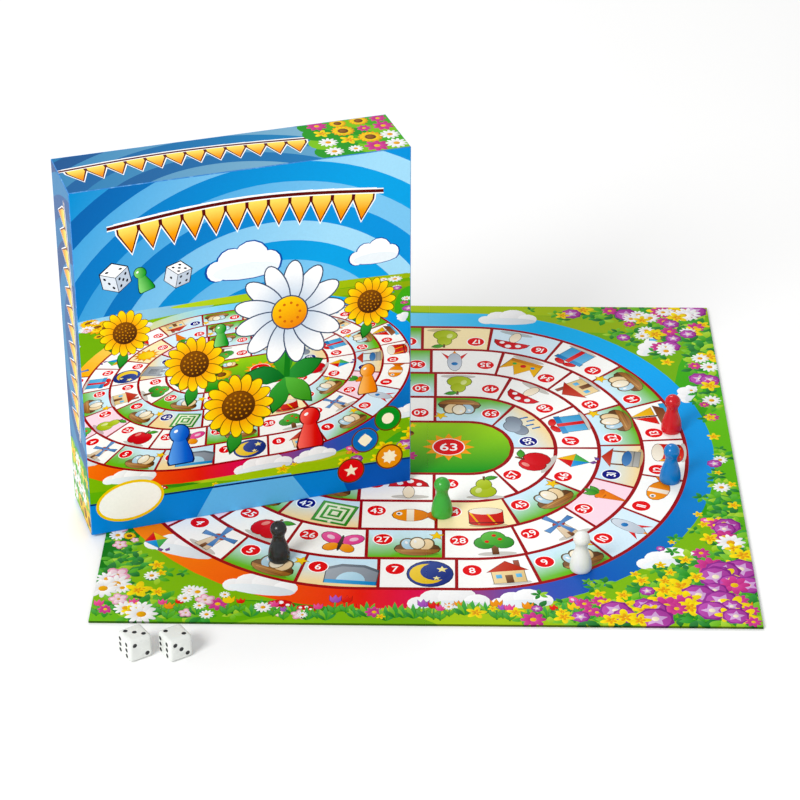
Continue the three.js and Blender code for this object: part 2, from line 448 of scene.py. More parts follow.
def ink_faces(mesh, shapes):
    """Paints each corner of each face with the face's own shape. The underside stays bare paper."""
    numbers = [0] * len(mesh.polygons)
    mesh.attributes["shape"].data.foreach_get("value", numbers)
    inks = [0.0] * (4 * len(mesh.loops))
    for face, number in zip(mesh.polygons, numbers):
        paint = PAPER if face.normal.z < -0.5 else shapes[number][1]
        for corner in face.loop_indices:
            spot = mesh.vertices[mesh.loops[corner].vertex_index].co
            inks[4 * corner:4 * corner + 4] = painted(paint, spot.x, spot.y)
    mesh.attributes.remove(mesh.attributes["shape"])
    mesh.color_attributes.new("ink", "FLOAT_COLOR", "CORNER").data.foreach_set("color", inks)


# %% A function for printed sheets
def printed_sheet(name, outline, art, thickness, place):
    """A closed sheet of paper, printed with art on its upper face. place takes it from mm to its place."""
    shapes = shapes_over(outline, art)
    sheet = cut_flat(name, shapes)
    thicken(sheet, thickness)
    ink_faces(sheet.data, shapes)
    sheet.data.transform(place)
    sheet.data.materials.append(printed_paper)
    print(name, "cut into", len(sheet.data.polygons), "faces from", len(shapes), "shapes")
    return sheet


# %% [markdown]
# ## Numerals
# The track's numbers come from Blender's own font. Each digit is typed once as a text object, made a mesh,
# and its border loops are kept: the longest is the digit's outline, the others are its counters. A counter
# is painted in the colour of the disc behind the digit, which saves cutting holes.

# %% Digit outlines
def border_loops(mesh):
    """The closed border loops of a flat mesh, the longest first."""
    uses = {}
    for face in mesh.polygons:
        for key in face.edge_keys:
            uses[key] = uses.get(key, 0) + 1
    ways = {}
    for a, b in [key for key, count in uses.items() if count == 1]:
        ways.setdefault(a, []).append(b)
        ways.setdefault(b, []).append(a)
    loops = []
    while ways:
        loop = [next(iter(ways))]
        while True:
            onward = [spot for spot in ways.pop(loop[-1]) if spot in ways]
            if not onward:
                break
            loop.append(onward[0])
        loops.append([tuple(mesh.vertices[i].co[:2]) for i in loop])
    return sorted(loops, key=lambda loop: -max(p[0] for p in loop) + min(p[0] for p in loop))


CURVE_STEPS, BOLDER = 3, 0.012
digits = {}
for numeral in "0123456789":
    bpy.ops.object.select_all(action="DESELECT")
    bpy.ops.object.text_add()
    typed = bpy.context.object
    typed.data.body = numeral
    typed.data.resolution_u = CURVE_STEPS
    typed.data.offset = BOLDER
    bpy.ops.object.convert(target="MESH")
    bpy.ops.object.mode_set(mode="EDIT")
    bpy.ops.mesh.select_all(action="SELECT")
    bpy.ops.mesh.remove_doubles(threshold=1e-5)
    bpy.ops.object.mode_set(mode="OBJECT")
    digits[numeral] = border_loops(typed.data)
    bpy.data.objects.remove(typed)
print("digit loops:", {numeral: len(loops) for numeral, loops in digits.items()})

# %% Whole numbers
DIGIT_GAP = 0.07


def number(value, height, ink, ground):
    """A whole number, centred on the origin."""
    art, along = [], 0.0
    for numeral in str(value):
        xs = [p[0] for p in digits[numeral][0]]
        shift = along - min(xs)
        for i, loop in enumerate(digits[numeral]):
            art.append(([(x + shift, y) for x, y in loop], ink if i == 0 else ground))
        along += max(xs) - min(xs) + DIGIT_GAP
    tall = max(p[1] for p in art[0][0])
    middle = ((along - DIGIT_GAP) / 2, tall / 2)
    size = height / tall
    return placed(art, -middle[0] * size, -middle[1] * size, size)


print("63 is drawn with", len(number(63, 1, "#ffffff", "#000000")), "shapes")

# %% [markdown]
# ## Flowers and leaves
# Beds of common garden flowers fill the board's edge: daisies, five-petalled blossoms, yellow sprays and
# purple bindweed. Each is a few ovals, because it is repeated hundreds of times.

# %% Flowers
def petals(count, distance, length, width, colour, turn=0.0):
    """A ring of oval petals."""
    art = []
    for i in range(count):
        angle = turn + 360 * i / count
        x, y = distance * math.cos(math.radians(angle)), distance * math.sin(math.radians(angle))
        art.append((oval(x, y, length, width, angle, 9), colour))
    return art


daisy = petals(11, 5.6, 4.2, 1.7, "#ffffff") + [(oval(0, 0, 2.9, count=9), "#f4b51e")]
blossom = petals(5, 5.0, 4.9, 4.0, "#f3a9c6", 18) + petals(5, 4.4, 3.6, 2.7, "#fde3ec", 18)
blossom += [(oval(0, 0, 1.7, count=8), "#e0b63c")]
spray = petals(5, 4.8, 4.9, 2.7, "#ffe62c", 18) + petals(5, 2.6, 2.2, 1.2, "#f4ae18", 18)
bindweed = [(star(0, 0, 11, 0.88, 8), "#9a3498"), (oval(0, 0, 8.8, count=14), "#c056b4")]
bindweed += [(star(0, 0, 7.2, 0.5, 5), "#e3b9e6"), (oval(0, 0, 2.2, count=8), "#fff7d8")]
cosmos = petals(8, 5.2, 4.4, 2.4, "#d94f9c") + [(oval(0, 0, 2.4, count=8), "#f7cf3c")]
sunflower = petals(14, 7.4, 3.4, 1.7, "#f8a812") + petals(14, 6.2, 3.2, 1.6, "#ffd83a", 13)
sunflower += [(oval(0, 0, 4.8, count=16), "#7a4a1d"), (oval(0, 0, 3.1, count=12), "#9c6428")]
foliage = [(leaf(0, 0, 12, 3.0, turn), green) for turn, green in
           ((20, "#2e9a3b"), (95, "#47ae3c"), (165, "#1f8a36"), (250, "#3aa63a"), (310, "#5bb93f"))]
daisy, blossom, spray, bindweed, cosmos, sunflower, foliage = [
    shaded(art, 0.15, 0.15) for art in (daisy, blossom, spray, bindweed, cosmos, sunflower, foliage)]
print("flowers drawn: daisy, blossom, spray, bindweed, cosmos, sunflower")

# %% [markdown]
# ## Pictures for the squares
# Each square of the track carries a small picture. They are simple things that a child can name, built from
# ovals, rectangles and a few free shapes, about 16 mm wide, with their feet towards the board's edge. Things
# that stand on the ground also get a soft shadow.

# %% Pictures from the garden
apple = [(oval(-2.2, -1, 4.6, 5.4), "#d8232a"), (oval(2.2, -1, 4.6, 5.4), "#d8232a"),
         (oval(-3.4, 1.4, 1.1, 1.9, -20), "#f59a90"), (slab(-0.5, 3.2, 0.5, 7), "#6b4423"),
         (leaf(0.4, 5, 6, 1.5, 25), "#4aa32f")]
pear = [(oval(0, -2.6, 5, 4.4), "#b9cc34"), (oval(0.4, 2.4, 3, 3.8), "#b9cc34"),
        (oval(-1.8, -2, 1.2, 2, -15), "#e3ec9a"), (slab(0.2, 5.4, 1, 8), "#6b4423"),
        (leaf(0.6, 6.4, 5.4, 1.4, 15), "#4aa32f")]
carrot = [([(-3.2, 2.6), (3.2, 2.6), (0.6, -8), (-0.2, -8)], "#f0801a"), (oval(0, 2.6, 3.2, 1.4), "#f0801a"),
          (leaf(0, 3, 6, 1.4, 60), "#4aa32f"), (leaf(0, 3, 6.4, 1.4, 90), "#3a932f"),
          (leaf(0, 3, 6, 1.4, 120), "#4aa32f"), (slab(-2, 0, 0.4, 0.6), "#c45f10")]
tree_picture = [(slab(-1.2, -7, 1.2, 0), "#7a4a26"), (oval(-3.4, 0.8, 4), "#3f9d35"),
                (oval(3.4, 0.8, 4), "#3f9d35"), (oval(0, 3.8, 4.6), "#56b43e"),
                (oval(-2.6, 1.6, 0.9, count=8), "#e0342c"), (oval(2.4, 3, 0.9, count=8), "#e0342c"),
                (oval(0.4, 5.6, 0.9, count=8), "#e0342c")]
toadstool = [(oval(0, -3.4, 2.2, 4.2), "#fff1d6"), (oval(0, 0.6, 7.6, 6)[:8], "#d9262c"),
             (oval(-3.4, 3, 1.3, count=9), "#ffffff"), (oval(0.6, 4.4, 1.4, count=9), "#ffffff"),
             (oval(4, 2.2, 1.1, count=9), "#ffffff")]
fish = [([(5, 0), (9.6, 4), (9.6, -4)], "#e0701a"), (oval(0, 0, 6.8, 4.2), "#f6921e"),
        ([(-1.4, 4), (1.4, 4), (1.4, -4), (-1.4, -4)], "#fff3df"), (oval(-4.2, 1, 1.2, count=9), "#ffffff"),
        (oval(-4.4, 1, 0.6, count=8), "#202020")]
butterfly = [(oval(-4, 3, 4.4, 3.2, -35), "#ef5aa0"), (oval(4, 3, 4.4, 3.2, 35), "#ef5aa0"),
             (oval(-3, -3, 3.2, 2.4, 40), "#f9a13a"), (oval(3, -3, 3.2, 2.4, -40), "#f9a13a"),
             (oval(-4.4, 3.3, 1.8, 1.2, -35), "#fbd0e4"), (oval(4.4, 3.3, 1.8, 1.2, 35), "#fbd0e4"),
             (oval(0, 0, 0.8, 5), "#3a2a20")]
print("garden pictures with", [len(art) for art in (apple, pear, carrot, fish, butterfly)], "shapes")

# %% Pictures of things
house = [(slab(3, 2, 5, 7.5), "#9a4a34"), (slab(-6, -6.5, 6, 1), "#f3d9a0"),
         ([(-7.6, 1), (7.6, 1), (0, 7.6)], "#c8402f"), (slab(-1.4, -6.5, 1.4, -1.6), "#7a4a26"),
         (slab(-4.8, -3.4, -2.6, -1), "#6fc0ea"), (slab(2.6, -3.4, 4.8, -1), "#6fc0ea")]
windmill = [([(-3.4, -7), (3.4, -7), (2, 2), (-2, 2)], "#e9d3b4"), (oval(0, 2.2, 2.4, 1.8), "#b5442f"),
            (slab(-1, -7, 1, -4), "#7a4a26")]
windmill += [placed([([(-0.5, 0), (0.5, 0), (1.9, 7), (-0.9, 7)], "#5c8fc9")], 0, 2.2, 1, turn)[0]
             for turn in (20, 110, 200, 290)]
boat = [(slab(-9, -7.2, 9, -4.8), "#4fb8e8"), ([(-8, -2), (8, -2), (5.4, -6), (-5.4, -6)], "#8a4b22"),
        ([(-0.8, -1), (-0.8, 7.6), (-6.6, -1)], "#e8352e"), ([(0.8, -1), (0.8, 8.6), (7, -1)], "#f6c12c"),
        (slab(-0.5, -2, 0.5, 9), "#5a3418")]
kite = [([(0, 8), (-5, 1.6), (0, 1.6)], "#e33a3a"), ([(0, 8), (0, 1.6), (5, 1.6)], "#f6c12c"),
        ([(-5, 1.6), (0, -5), (0, 1.6)], "#2f9be0"), ([(0, 1.6), (0, -5), (5, 1.6)], "#43b04a"),
        ([(0, -5), (1.6, -6.4), (0.6, -7.6), (-0.6, -6.4)], "#7a4a9c"),
        ([(2.6, -6.8), (4.4, -6), (4.2, -7.8), (2.8, -8)], "#7a4a9c")]
crown = [([(-7, -5), (7, -5), (8, 5), (3.8, 0.6), (0, 7), (-3.8, 0.6), (-8, 5)], "#f5b81c"),
         (slab(-7, -5.4, 7, -3), "#d98a12"), (oval(0, -1, 1.3, count=9), "#d8232a"),
         (oval(-4.2, -1.4, 1, count=8), "#2f9be0"), (oval(4.2, -1.4, 1, count=8), "#43b04a")]
drum = [(slab(-6.4, -5, 6.4, 3), "#d8362f"), (oval(0, -5, 6.4, 2.2), "#d8362f"),
        (oval(0, 3, 6.4, 2.4), "#f7efdd"), ([(-6.4, 2), (-3.2, -6), (-2.4, -6), (-5.6, 2)], "#f6c12c"),
        ([(0.2, 1), (3.2, -6), (4, -6), (1, 1)], "#f6c12c"), (slab(-6.4, -5.6, 6.4, -4.6), "#8f1d1d")]
ball = [(oval(0, 0, 7.0, count=20), "#f7f7f4"), (oval(-4.2, 0, 2, 5.2), "#e33a3a"),
        (oval(4.2, 0, 2, 5.2), "#2f9be0"), (oval(0, 0, 1.8, 6.4), "#f6c12c")]
gift = [(slab(-6, -6.4, 6, 3), "#5fb4e4"), (slab(-6.6, 2, 6.6, 4.4), "#3c93cf"),
        (slab(-1.2, -6.4, 1.2, 4.4), "#e33a3a"), (oval(-2.6, 6, 2.6, 1.5, 20), "#e33a3a"),
        (oval(2.6, 6, 2.6, 1.5, -20), "#e33a3a")]
rocket = [([(-2.4, -4), (-5.4, -7), (-2.4, -0.5)], "#e33a3a"),
          ([(2.4, -4), (5.4, -7), (2.4, -0.5)], "#e33a3a"), ([(-1.4, -5), (1.4, -5), (0, -8.6)], "#f9a13a"),
          (oval(0, 0.6, 3.0, 7.4), "#cfd9e4"), (oval(0, 2.2, 1.4, count=10), "#2f7fc4")]
print("things with", [len(art) for art in (house, windmill, boat, kite, drum, rocket)], "shapes")

# %% Pictures of the sky and for the special squares
sun = [(star(0, 0, 8.6, 0.66, 12), "#f7a81b"), (oval(0, 0, 5.2, count=18), "#ffd93b")]
moon = [(oval(0, 0, 8.4, count=20), "#2a3f8f"), (oval(-1, 0, 6.6, count=20), "#f7d34a"),
        (oval(2, 1.4, 5.6, count=18), "#2a3f8f"), (star(4.4, 3, 2.2), "#fff2a6"),
        (star(2.4, -2.8, 1.5), "#fff2a6")]
nest = [(oval(0, -3.2, 8.4, 4.4), "#6e4520")]
for x, y, turn, shell in ((-3.3, -0.4, 14, "#bfe0f0"), (3.2, -0.4, -14, "#f6dcae"), (0, 0.4, 0, "#fff4dc")):
    nest += [(oval(x, y, 3.0, 4.1, turn, 16), "#7d6238"), (oval(x, y, 2.6, 3.7, turn, 16), shell),
             (oval(x - 0.8, y + 1.2, 0.6, 1.0, turn, 8), "#ffffff")]
nest += [(oval(0, -3.6, 8.4, 4.2)[7:] + [(8.4, -3.6)], "#a8723a"), (slab(-6, -5, 5, -4.5), "#c79455"),
         (slab(-4, -6.4, 6, -6), "#86562a"), (star(7.2, 5.6, 2.8), "#ffd21e")]
bridge = [([(-9.5, -5), (9.5, -5), (9.5, 1.5), (4, 4.2), (-4, 4.2), (-9.5, 1.5)], "#9aa3ad"),
          (oval(0, -5, 5.4, 6, count=20)[:11], "#bfe3f5"), (slab(-9.5, -7, 9.5, -4.6), "#3f9fdb"),
          ([(-9.5, 1.5), (-4, 4.2), (4, 4.2), (9.5, 1.5),
            (9.5, 3), (4, 5.7), (-4, 5.7), (-9.5, 3)], "#6f7a86")]
well = [([(-7, 4), (7, 4), (0, 8)], "#c8402f"), (slab(-5.4, -2, -4.4, 4), "#7a4a26"),
        (slab(4.4, -2, 5.4, 4), "#7a4a26"), (slab(-5.6, -7, 5.6, -2), "#a9a9a4"),
        (oval(0, -2, 5.6, 1.9), "#3f79b5"), (slab(-5.6, -4.8, 5.6, -4.3), "#82827d")]
maze = [(slab(-r, -r, r, r), colour) for r, colour in
        zip((7, 5.9, 4.7, 3.6, 2.4, 1.3), ("#3f9d35", "#eef6d8") * 3)]
maze += [(slab(-0.6, -7, 0.6, -4.6), "#eef6d8"), (slab(-0.6, 2.3, 0.6, 4.8), "#eef6d8")]
tower = [(slab(-6, -7, 6, 4), "#a7adb4"), (slab(-2.6, -4, 2.6, 2), "#2c3440")]
tower += [(slab(x, 4, x + 2.4, 6.4), "#a7adb4") for x in (-6, -1.2, 3.6)]
tower += [(slab(x, -4, x + 0.7, 2), "#c9ced3") for x in (-1.9, -0.35, 1.2)]
rain = [(oval(-3.4, 2, 4, 3), "#8b97a6"), (oval(3.2, 1.6, 4.2, 3), "#8b97a6"),
        (oval(0, 4, 4.2, 3.2), "#9dabb9")]
rain += [(slab(x, y, x + 0.8, y + 3), "#3f86c9") for x, y in ((-5, -6), (-2, -4.6), (1, -6.4), (4, -4.8))]
pictures = [apple, boat, house, tree_picture, toadstool, fish, sun, butterfly, kite, crown, windmill, pear,
            drum, moon, ball, gift, rocket, carrot]
standing = (apple, house, tree_picture, toadstool, crown, windmill, pear, drum, ball, gift, nest, well,
            tower)
special = {6: bridge, 19: house, 31: well, 42: maze, 52: tower, 58: rain}
print("pictures drawn:", len(pictures) + len(special))

# %% [markdown]
# ## The spiral track
# The old game runs 63 squares round an oval spiral to the middle. This one is the classic two-centre spiral:
# straight runs at the front and back, half circles at the ends, and one lane's width further in after each
# lap. A function gives the point at any number of laps along, and any distance in from the lane's outer wall.

# %% Track geometry
LANE, RUN, OUTER = 30.0, 36.0, 150.0
DEEPER, SIDEWAYS, BACKWARD = 1.16, -7.5, 11.0
FIRST, LAST = -0.14, 4.0
SQUARES = 63
WALL, RUNG = 1.3, 1.1


def on_track(laps, inward):
    """The point some laps along the spiral, some mm in from the outer wall of the lane."""
    lap = math.floor(laps)
    part = 4 * (laps - lap)
    right, left = OUTER - LANE * lap - inward, OUTER - LANE * (lap + 0.5) - inward
    if part < 1:
        x, y = (2 * part - 1) * RUN, -LANE / 4 - right
    elif part < 2:
        angle = (part - 1.5) * math.pi
        x, y = RUN + right * math.cos(angle), right * math.sin(angle) - LANE / 4
    elif part < 3:
        x, y = (5 - 2 * part) * RUN, right - LANE / 4
    else:
        angle = (part - 2.5) * math.pi
        x, y = left * math.cos(angle) - RUN, LANE / 4 + left * math.sin(angle)
    return x + SIDEWAYS, y * DEEPER + BACKWARD


def steps(start, end, count):
    """Evenly spaced values from start to end."""
    return [start + (end - start) * i / count for i in range(count + 1)]


walk = steps(FIRST, LAST, 2400)
path = [on_track(laps, LANE / 2) for laps in walk]
paced = [0.0]
for a, b in zip(path, path[1:]):
    paced.append(paced[-1] + math.dist(a, b))
square_length = paced[-1] / (SQUARES - 1)
rungs = [square_length * i for i in range(SQUARES)]
print("lane", round(paced[-1]), "mm long; each square", round(square_length, 1), "mm")


def along(length):
    """The laps at a length in mm along the middle of the lane."""
    at = min(max(bisect.bisect_left(paced, length), 1), len(paced) - 1)
    return walk[at] + (length - paced[at]) / (paced[at] - paced[at - 1]) * (walk[at] - walk[at - 1])


def lane_shape(start, end, margin, gap):
    """The outline of a stretch of the lane, set in from its walls and its rungs."""
    laps = [along(length) for length in steps(start + gap, end - gap, 7)]
    return [on_track(lap, margin) for lap in laps] + [on_track(lap, LANE - margin) for lap in reversed(laps)]


# %% [markdown]
# ## Squares, numbers and the goal
# Each square is white, or a bit of meadow under a blue sky where something happens. A wine-red layer under
# them shows between as the track's lines. A red disc carries each number, dark blue on the hazards. The last
# square is the whole middle of the spiral.

# %% Squares
LINE, DISC, HAZARD = "#a8101a", "#e60a17", "#2a2f8c"
PICTURE_PLACE, PICTURE_SIZE = (8.0, -0.3), 1.75
BADGE_PLACE, BADGE_RADIUS, BADGE_RIM, NUMERAL = (-14.5, 5.0), 6.2, 0.7, 6.2
MEADOW_FROM, SKY_TO = 12, 9
HAZARD_SQUARES = (19, 31, 42, 52, 58)
GROUND_SHADOW = oval(0.6, -6.8, 7.4, 1.5)
track = []
for start, end in zip(rungs, rungs[1:]):
    track.append((lane_shape(start, end, -WALL, -RUNG), LINE))
fields = []
for square, (start, end) in enumerate(zip(rungs, rungs[1:]), 1):
    halfway = (start + end) / 2
    middle, ahead, behind = [on_track(along(halfway + step), LANE / 2) for step in (0, 1, -1)]
    facing = math.degrees(math.atan2(ahead[1] - behind[1], ahead[0] - behind[0]))
    lucky = square % 9 in (0, 5)
    ground = "#fbfbf8"
    if square % 7 in (2, 3):
        ground = ("#fbe0ea", "#dff1fb", "#fdeec4")[square % 3]
    if lucky or square in special:
        up = (-math.sin(math.radians(facing)), math.cos(math.radians(facing)))
        low = (middle[0] - MEADOW_FROM * up[0], middle[1] - MEADOW_FROM * up[1])
        top = (middle[0] + SKY_TO * up[0], middle[1] + SKY_TO * up[1])
        ground = ("#7cc043", "#d9f0fb", low, top) if lucky else ("#f6dfae", "#d3ebf8", low, top)
    track.append((lane_shape(start, end, WALL, RUNG), ground))
    turn_taken = (square * 7 + square // 18 * 5) % len(pictures)
    picture = special.get(square, nest if lucky else pictures[turn_taken])
    drawing = inked(shaded(picture))
    if any(picture is thing for thing in standing):
        under = ground if isinstance(ground, str) else ground[0]
        drawing.insert(0, (GROUND_SHADOW, mixed(under, "#4a4030", 0.25)))
    fields += placed(placed(drawing, *PICTURE_PLACE, PICTURE_SIZE), *middle, 1, facing)
    colour = HAZARD if square in HAZARD_SQUARES else DISC
    badge = [(oval(0, 0, BADGE_RADIUS + BADGE_RIM, count=18), "#ffffff"),
             (oval(0, 0, BADGE_RADIUS, count=18), colour)]
    badge += number(square, NUMERAL, "#ffffff", colour)
    fields += placed(placed(badge, *BADGE_PLACE), *middle, 1, facing)
print("squares:", len(rungs) - 1, "with", len(fields), "shapes")

# %% Goal
goal_laps = steps(LAST, LAST + 1, 40)
goal = [([on_track(laps, -WALL) for laps in goal_laps], LINE),
        ([on_track(laps, WALL) for laps in goal_laps], ("#2f9e3b", "#a9d64a", (0, -30), (0, 30)))]
GOAL_DISC, GOAL_RADIUS = (SIDEWAYS + 22, BACKWARD - 8), 10.6
GOAL_SUN, GOAL_NUMERAL = 2.1, 9.5
goal += placed(sun, *GOAL_DISC, GOAL_SUN)
goal += [(oval(*GOAL_DISC, GOAL_RADIUS + BADGE_RIM, count=26), "#ffffff"),
         (oval(*GOAL_DISC, GOAL_RADIUS, count=26), DISC)]
goal += placed(number(SQUARES, GOAL_NUMERAL, "#ffffff", DISC), *GOAL_DISC)
for art, x, y, size in ((foliage, -20, -14, 0.9), (sunflower, -20, -8, 1.1), (daisy, -33, -14, 0.7),
                        (cosmos, -6, -20, 0.7), (nest, -12, 14, 1.2)):
    goal += placed(art, SIDEWAYS + x, BACKWARD + y, size)
track_art = track + fields + goal
print("track art:", len(track_art), "shapes")

# %% [markdown]
# ## The board's landscape
# Round the track runs a band of sky and sunset, from blue at the right to orange at the left, and beyond it
# lie meadows and a lake. Clouds sit where band and meadow meet. The band is a ring of short four-sided
# pieces, each fading from its own colour to the next one's, because a fade can't follow a curve.

# %% Meadows and the band
BAND = ((-180, "#f5a531"), (-140, "#f58a2a"), (-112, "#ef5a34"), (-90, "#e24a74"), (-68, "#5a66ba"),
        (-40, "#1f7cc2"), (-5, "#149ade"), (35, "#1cb0f0"), (75, "#62c8f4"), (105, "#a5def6"),
        (140, "#fbdb80"), (180, "#f5a531"))


def band_colour(x, y):
    """The band's colour in the direction of a point."""
    angle = math.degrees(math.atan2(y, x))
    for (low, first), (top, second) in zip(BAND, BAND[1:]):
        if low <= angle <= top:
            return mixed(first, second, (angle - low) / (top - low))


BLEED = 4
BAND_OUTER, BAND_MIDDLE, BAND_INNER = -19, -8, 4
edge = half_board_mm + BLEED
land = [(slab(-edge, -edge, edge, edge), ("#8cbf2c", "#7fb52e", (0, -edge), (0, edge)))]
land += [(oval(-150, 200, 110, 22, 4, 24), "#a6d8ef"), (oval(70, 210, 170, 14, -2, 28), "#b9d23a")]
land += [(oval(110, 182, 150, 12, -3, 24), "#a8c52f"), (oval(-60, 182, 120, 12, 5, 24), "#93bd2e")]
land += [(oval(212, 20, 40, 150, 0, 26), "#4cb02c"), (oval(218, -30, 34, 110, 0, 24), "#6cbf2e")]
land += [(oval(-214, -40, 32, 130, 0, 24), "#2f8f2f"), (oval(60, -216, 190, 30, 2, 28), "#c3cf3e")]
land += [(oval(-110, -220, 120, 34, -4, 24), "#4a9f2e"), (oval(190, -216, 80, 60, 0, 22), "#4fae2e")]
ring = steps(FIRST, 1 + FIRST, 120)
for a, b in zip(ring, ring[1:]):
    near, far = on_track(a, BAND_MIDDLE), on_track(b, BAND_MIDDLE)
    shape = [on_track(a, BAND_OUTER), on_track(b, BAND_OUTER),
             on_track(b, BAND_INNER), on_track(a, BAND_INNER)]
    land.append((shape, (band_colour(*near), band_colour(*far), near, far)))
print("meadows and band:", len(land), "shapes")


# %% Clouds, hills and small things
def cloud(width):
    """A flat-bottomed cloud of four lobes."""
    lobes = [(-0.42, -0.05, 0.16), (-0.2, 0.06, 0.22), (0.08, 0.1, 0.26), (0.34, 0.0, 0.18)]
    art = [(oval(x * width, y * width, r * width, count=14), "#ffffff") for x, y, r in lobes]
    return art + [(oval(0, -0.1 * width, 0.5 * width, 0.13 * width), "#f1f7fb")]


CLOUDS = ((168, 150, 34, 40), (-158, -126, 46, -20), (158, -136, 40, 10), (-104, -170, 44, -10),
          (60, 190, 40, 0), (-140, 166, 44, 20), (186, 80, 24, 70), (16, -186, 48, 0), (62, -184, 36, 4))
for x, y, width, turn in CLOUDS:
    land += placed(cloud(width), x, y, 1, turn)
land += [(oval(-130, -219, 110, 34, -5, 28), "#74bd32"), (oval(135, -221, 120, 36, 4, 28), "#9ccb32"),
         (oval(20, -218, 110, 25, 0, 28), "#b4d63a"), (oval(-60, -220, 70, 22, 3, 24), "#8cc634")]
land = shaded(land, 0.1, 0.1)
for art, x, y, size, turn in ((sun, -186, 182, 2.0, 0), (kite, -176, -120, 1.5, 15),
                              (boat, 176, 166, 1.3, -6), (butterfly, 190, -90, 1.0, 20),
                              (windmill, -192, 60, 1.7, 0), (toadstool, -92, -194, 1.3, 0),
                              (toadstool, -76, -197, 0.9, -8), (butterfly, 96, -187, 1.0, -18)):
    land += placed(inked(shaded(art)), x, y, size, turn)
print("landscape:", len(land), "shapes")

# %% [markdown]
# ## Flower beds
# Flowers and sprigs are strewn outside the band, thickest in the corners. They could be set one by one, but
# there are hundreds, so a random generator with a fixed seed does it, and every run gives the same board.

# %% Flower beds
strew = random.Random(63)
WITHIN = 206
LEAST_CHANCE, FULL_AT, SIDE_FROM, SIDE_OVER = 0.2, 55, 186, 50
LEAST_SIZE, SIZE_OVER = 0.5, 70
SPRIGS, SPRIG_GAP, FLOWERS, FLOWER_GAP = 330, 17, 230, 19
FRONT_BEDS, RIGHT_BEDS = -120, 40
ENTRY_TO = 20  # up to here on the left, flowers keep half a lane more off, for the track's entry


def from_core(x, y):
    """How far a point lies from the track's straight middle, before the track is deepened."""
    return math.hypot(max(abs(x - SIDEWAYS) - RUN, 0), (y - BACKWARD) / DEEPER)


def strewn(count, least):
    """Places outside the track's band, thicker towards the corners, the farthest first."""
    spots = []
    while len(spots) < count:
        x, y = strew.uniform(-WITHIN, WITHIN), strew.uniform(-WITHIN, WITHIN)
        at_entry = x < 0 and y < ENTRY_TO
        out = from_core(x, y) - OUTER - least - (LANE / 2 if at_entry else 0)
        chance = LEAST_CHANCE + (out / FULL_AT) ** 2 + max(0, (abs(x) - SIDE_FROM) / SIDE_OVER)
        if out > 0 and strew.random() < chance:
            spots.append((x, y, min(1.0, LEAST_SIZE + out / SIZE_OVER)))
    return sorted(spots, key=lambda spot: -spot[1])


GREENS = ("#268a2c", "#35a030", "#56b22e", "#7ac232", "#a6d23a", "#1d7a2c")
hedge = []
for x, y, size in strewn(SPRIGS, SPRIG_GAP):
    sprig = placed(foliage, x, y, size * strew.uniform(0.7, 1.15), strew.uniform(0, 360))
    hedge.append(shaded([(points, strew.choice(GREENS)) for points, _ in sprig]))
BEDS = {("front", "left"): (daisy, spray, spray, blossom), ("back", "left"): (blossom, daisy, sunflower),
        ("front", "right"): (bindweed, spray, spray, spray, cosmos),
        ("back", "right"): (spray, daisy, spray, cosmos, daisy, bindweed)}
planted = []
for x, y, size in strewn(FLOWERS, FLOWER_GAP):
    kinds = BEDS["front" if y < FRONT_BEDS else "back", "right" if x > RIGHT_BEDS else "left"]
    grown = size * strew.uniform(0.55, 1.15)
    planted.append(placed(strew.choice(kinds), x, y, grown, strew.uniform(0, 72)))
small_art = land + sum(planted[::3], []) + track_art
print("beds:", len(planted), "flowers and", len(hedge), "sprigs")

# %% [markdown]
# ## The front border
# Along the front edge grow tulips, tufts of grass and low flowers, upright for the player. They are planted
# in one row with small random steps, so the row has neither gaps nor a pattern.

# %% Front border
BLADES = ((9, 52, "#2e9a3b"), (12, 74, "#56b22e"), (13, 92, "#3aa63a"), (11, 108, "#7ac232"),
          (8, 128, "#268a2c"))
CUP = [(-2.8, 15.6), (-1.3, 13.4), (0, 16.2), (1.3, 13.4), (2.8, 15.6), (2.7, 11.4), (1.3, 9.8), (-1.3, 9.8),
       (-2.7, 11.4)]
tuft = shaded([(leaf(0, 0, length, 1.2, turn), green) for length, turn, green in BLADES])
plants = [tuft, tuft, tuft]
for colour in ("#e8352e", "#f59a1c", "#ee5a9c", "#f7d52c", "#b05ac4"):
    tulip = [(slab(-0.45, 0, 0.45, 10), "#3f9a35"), (leaf(0, 0.5, 9, 1.5, 66), "#56b22e"),
             (leaf(0, 0.5, 8, 1.4, 116), "#47a83a"), (CUP, colour)]
    plants.append(inked(shaded(tulip), 0.2))
plants += [placed(art, 0, 6, 0.55) for art in (daisy, cosmos, blossom, spray)]
BORDER_YS, BORDER_SIZES, BORDER_STEPS = (-208, -199), (0.9, 1.4), (3.5, 8)
border = []
across = -WITHIN
while across < WITHIN:
    plant = strew.choice(plants)
    border.append(placed(plant, across, strew.uniform(*BORDER_YS), strew.uniform(*BORDER_SIZES)))
    across += strew.uniform(*BORDER_STEPS)
board_art = land + sum(hedge, []) + sum(border, []) + sum(planted, []) + track_art
print("front border:", len(border), "plants; board art:", len(board_art), "shapes")

# %% [markdown]
# ## The printed quarters
# The board folds in four, so its face sheet is cut in four, each riding on its own panel. The sheets meet
# at the creases with a hair's breadth between them. On the outer sides the paper is turned over the edge of
# the greyboard, so the picture runs on down it: such a flap is a narrow printed sheet of its own, cut from
# the picture just past the edge and folded down. The real board's edge lies in shade, so the flap's inks
# are darkened as painted shade.

# %% Turning the print over an edge
# The last of these is how much painted shade darkens the inks on the turned-over edges.
HAIR, FLAP_PAPER, EDGE_PAINTED_SHADE = 0.02, 0.2, 0.45
over_edge = half_board_mm + HAIR + FLAP_PAPER
SIDE_TURNS = {"front": 0, "right": 90, "back": 180, "left": 270}


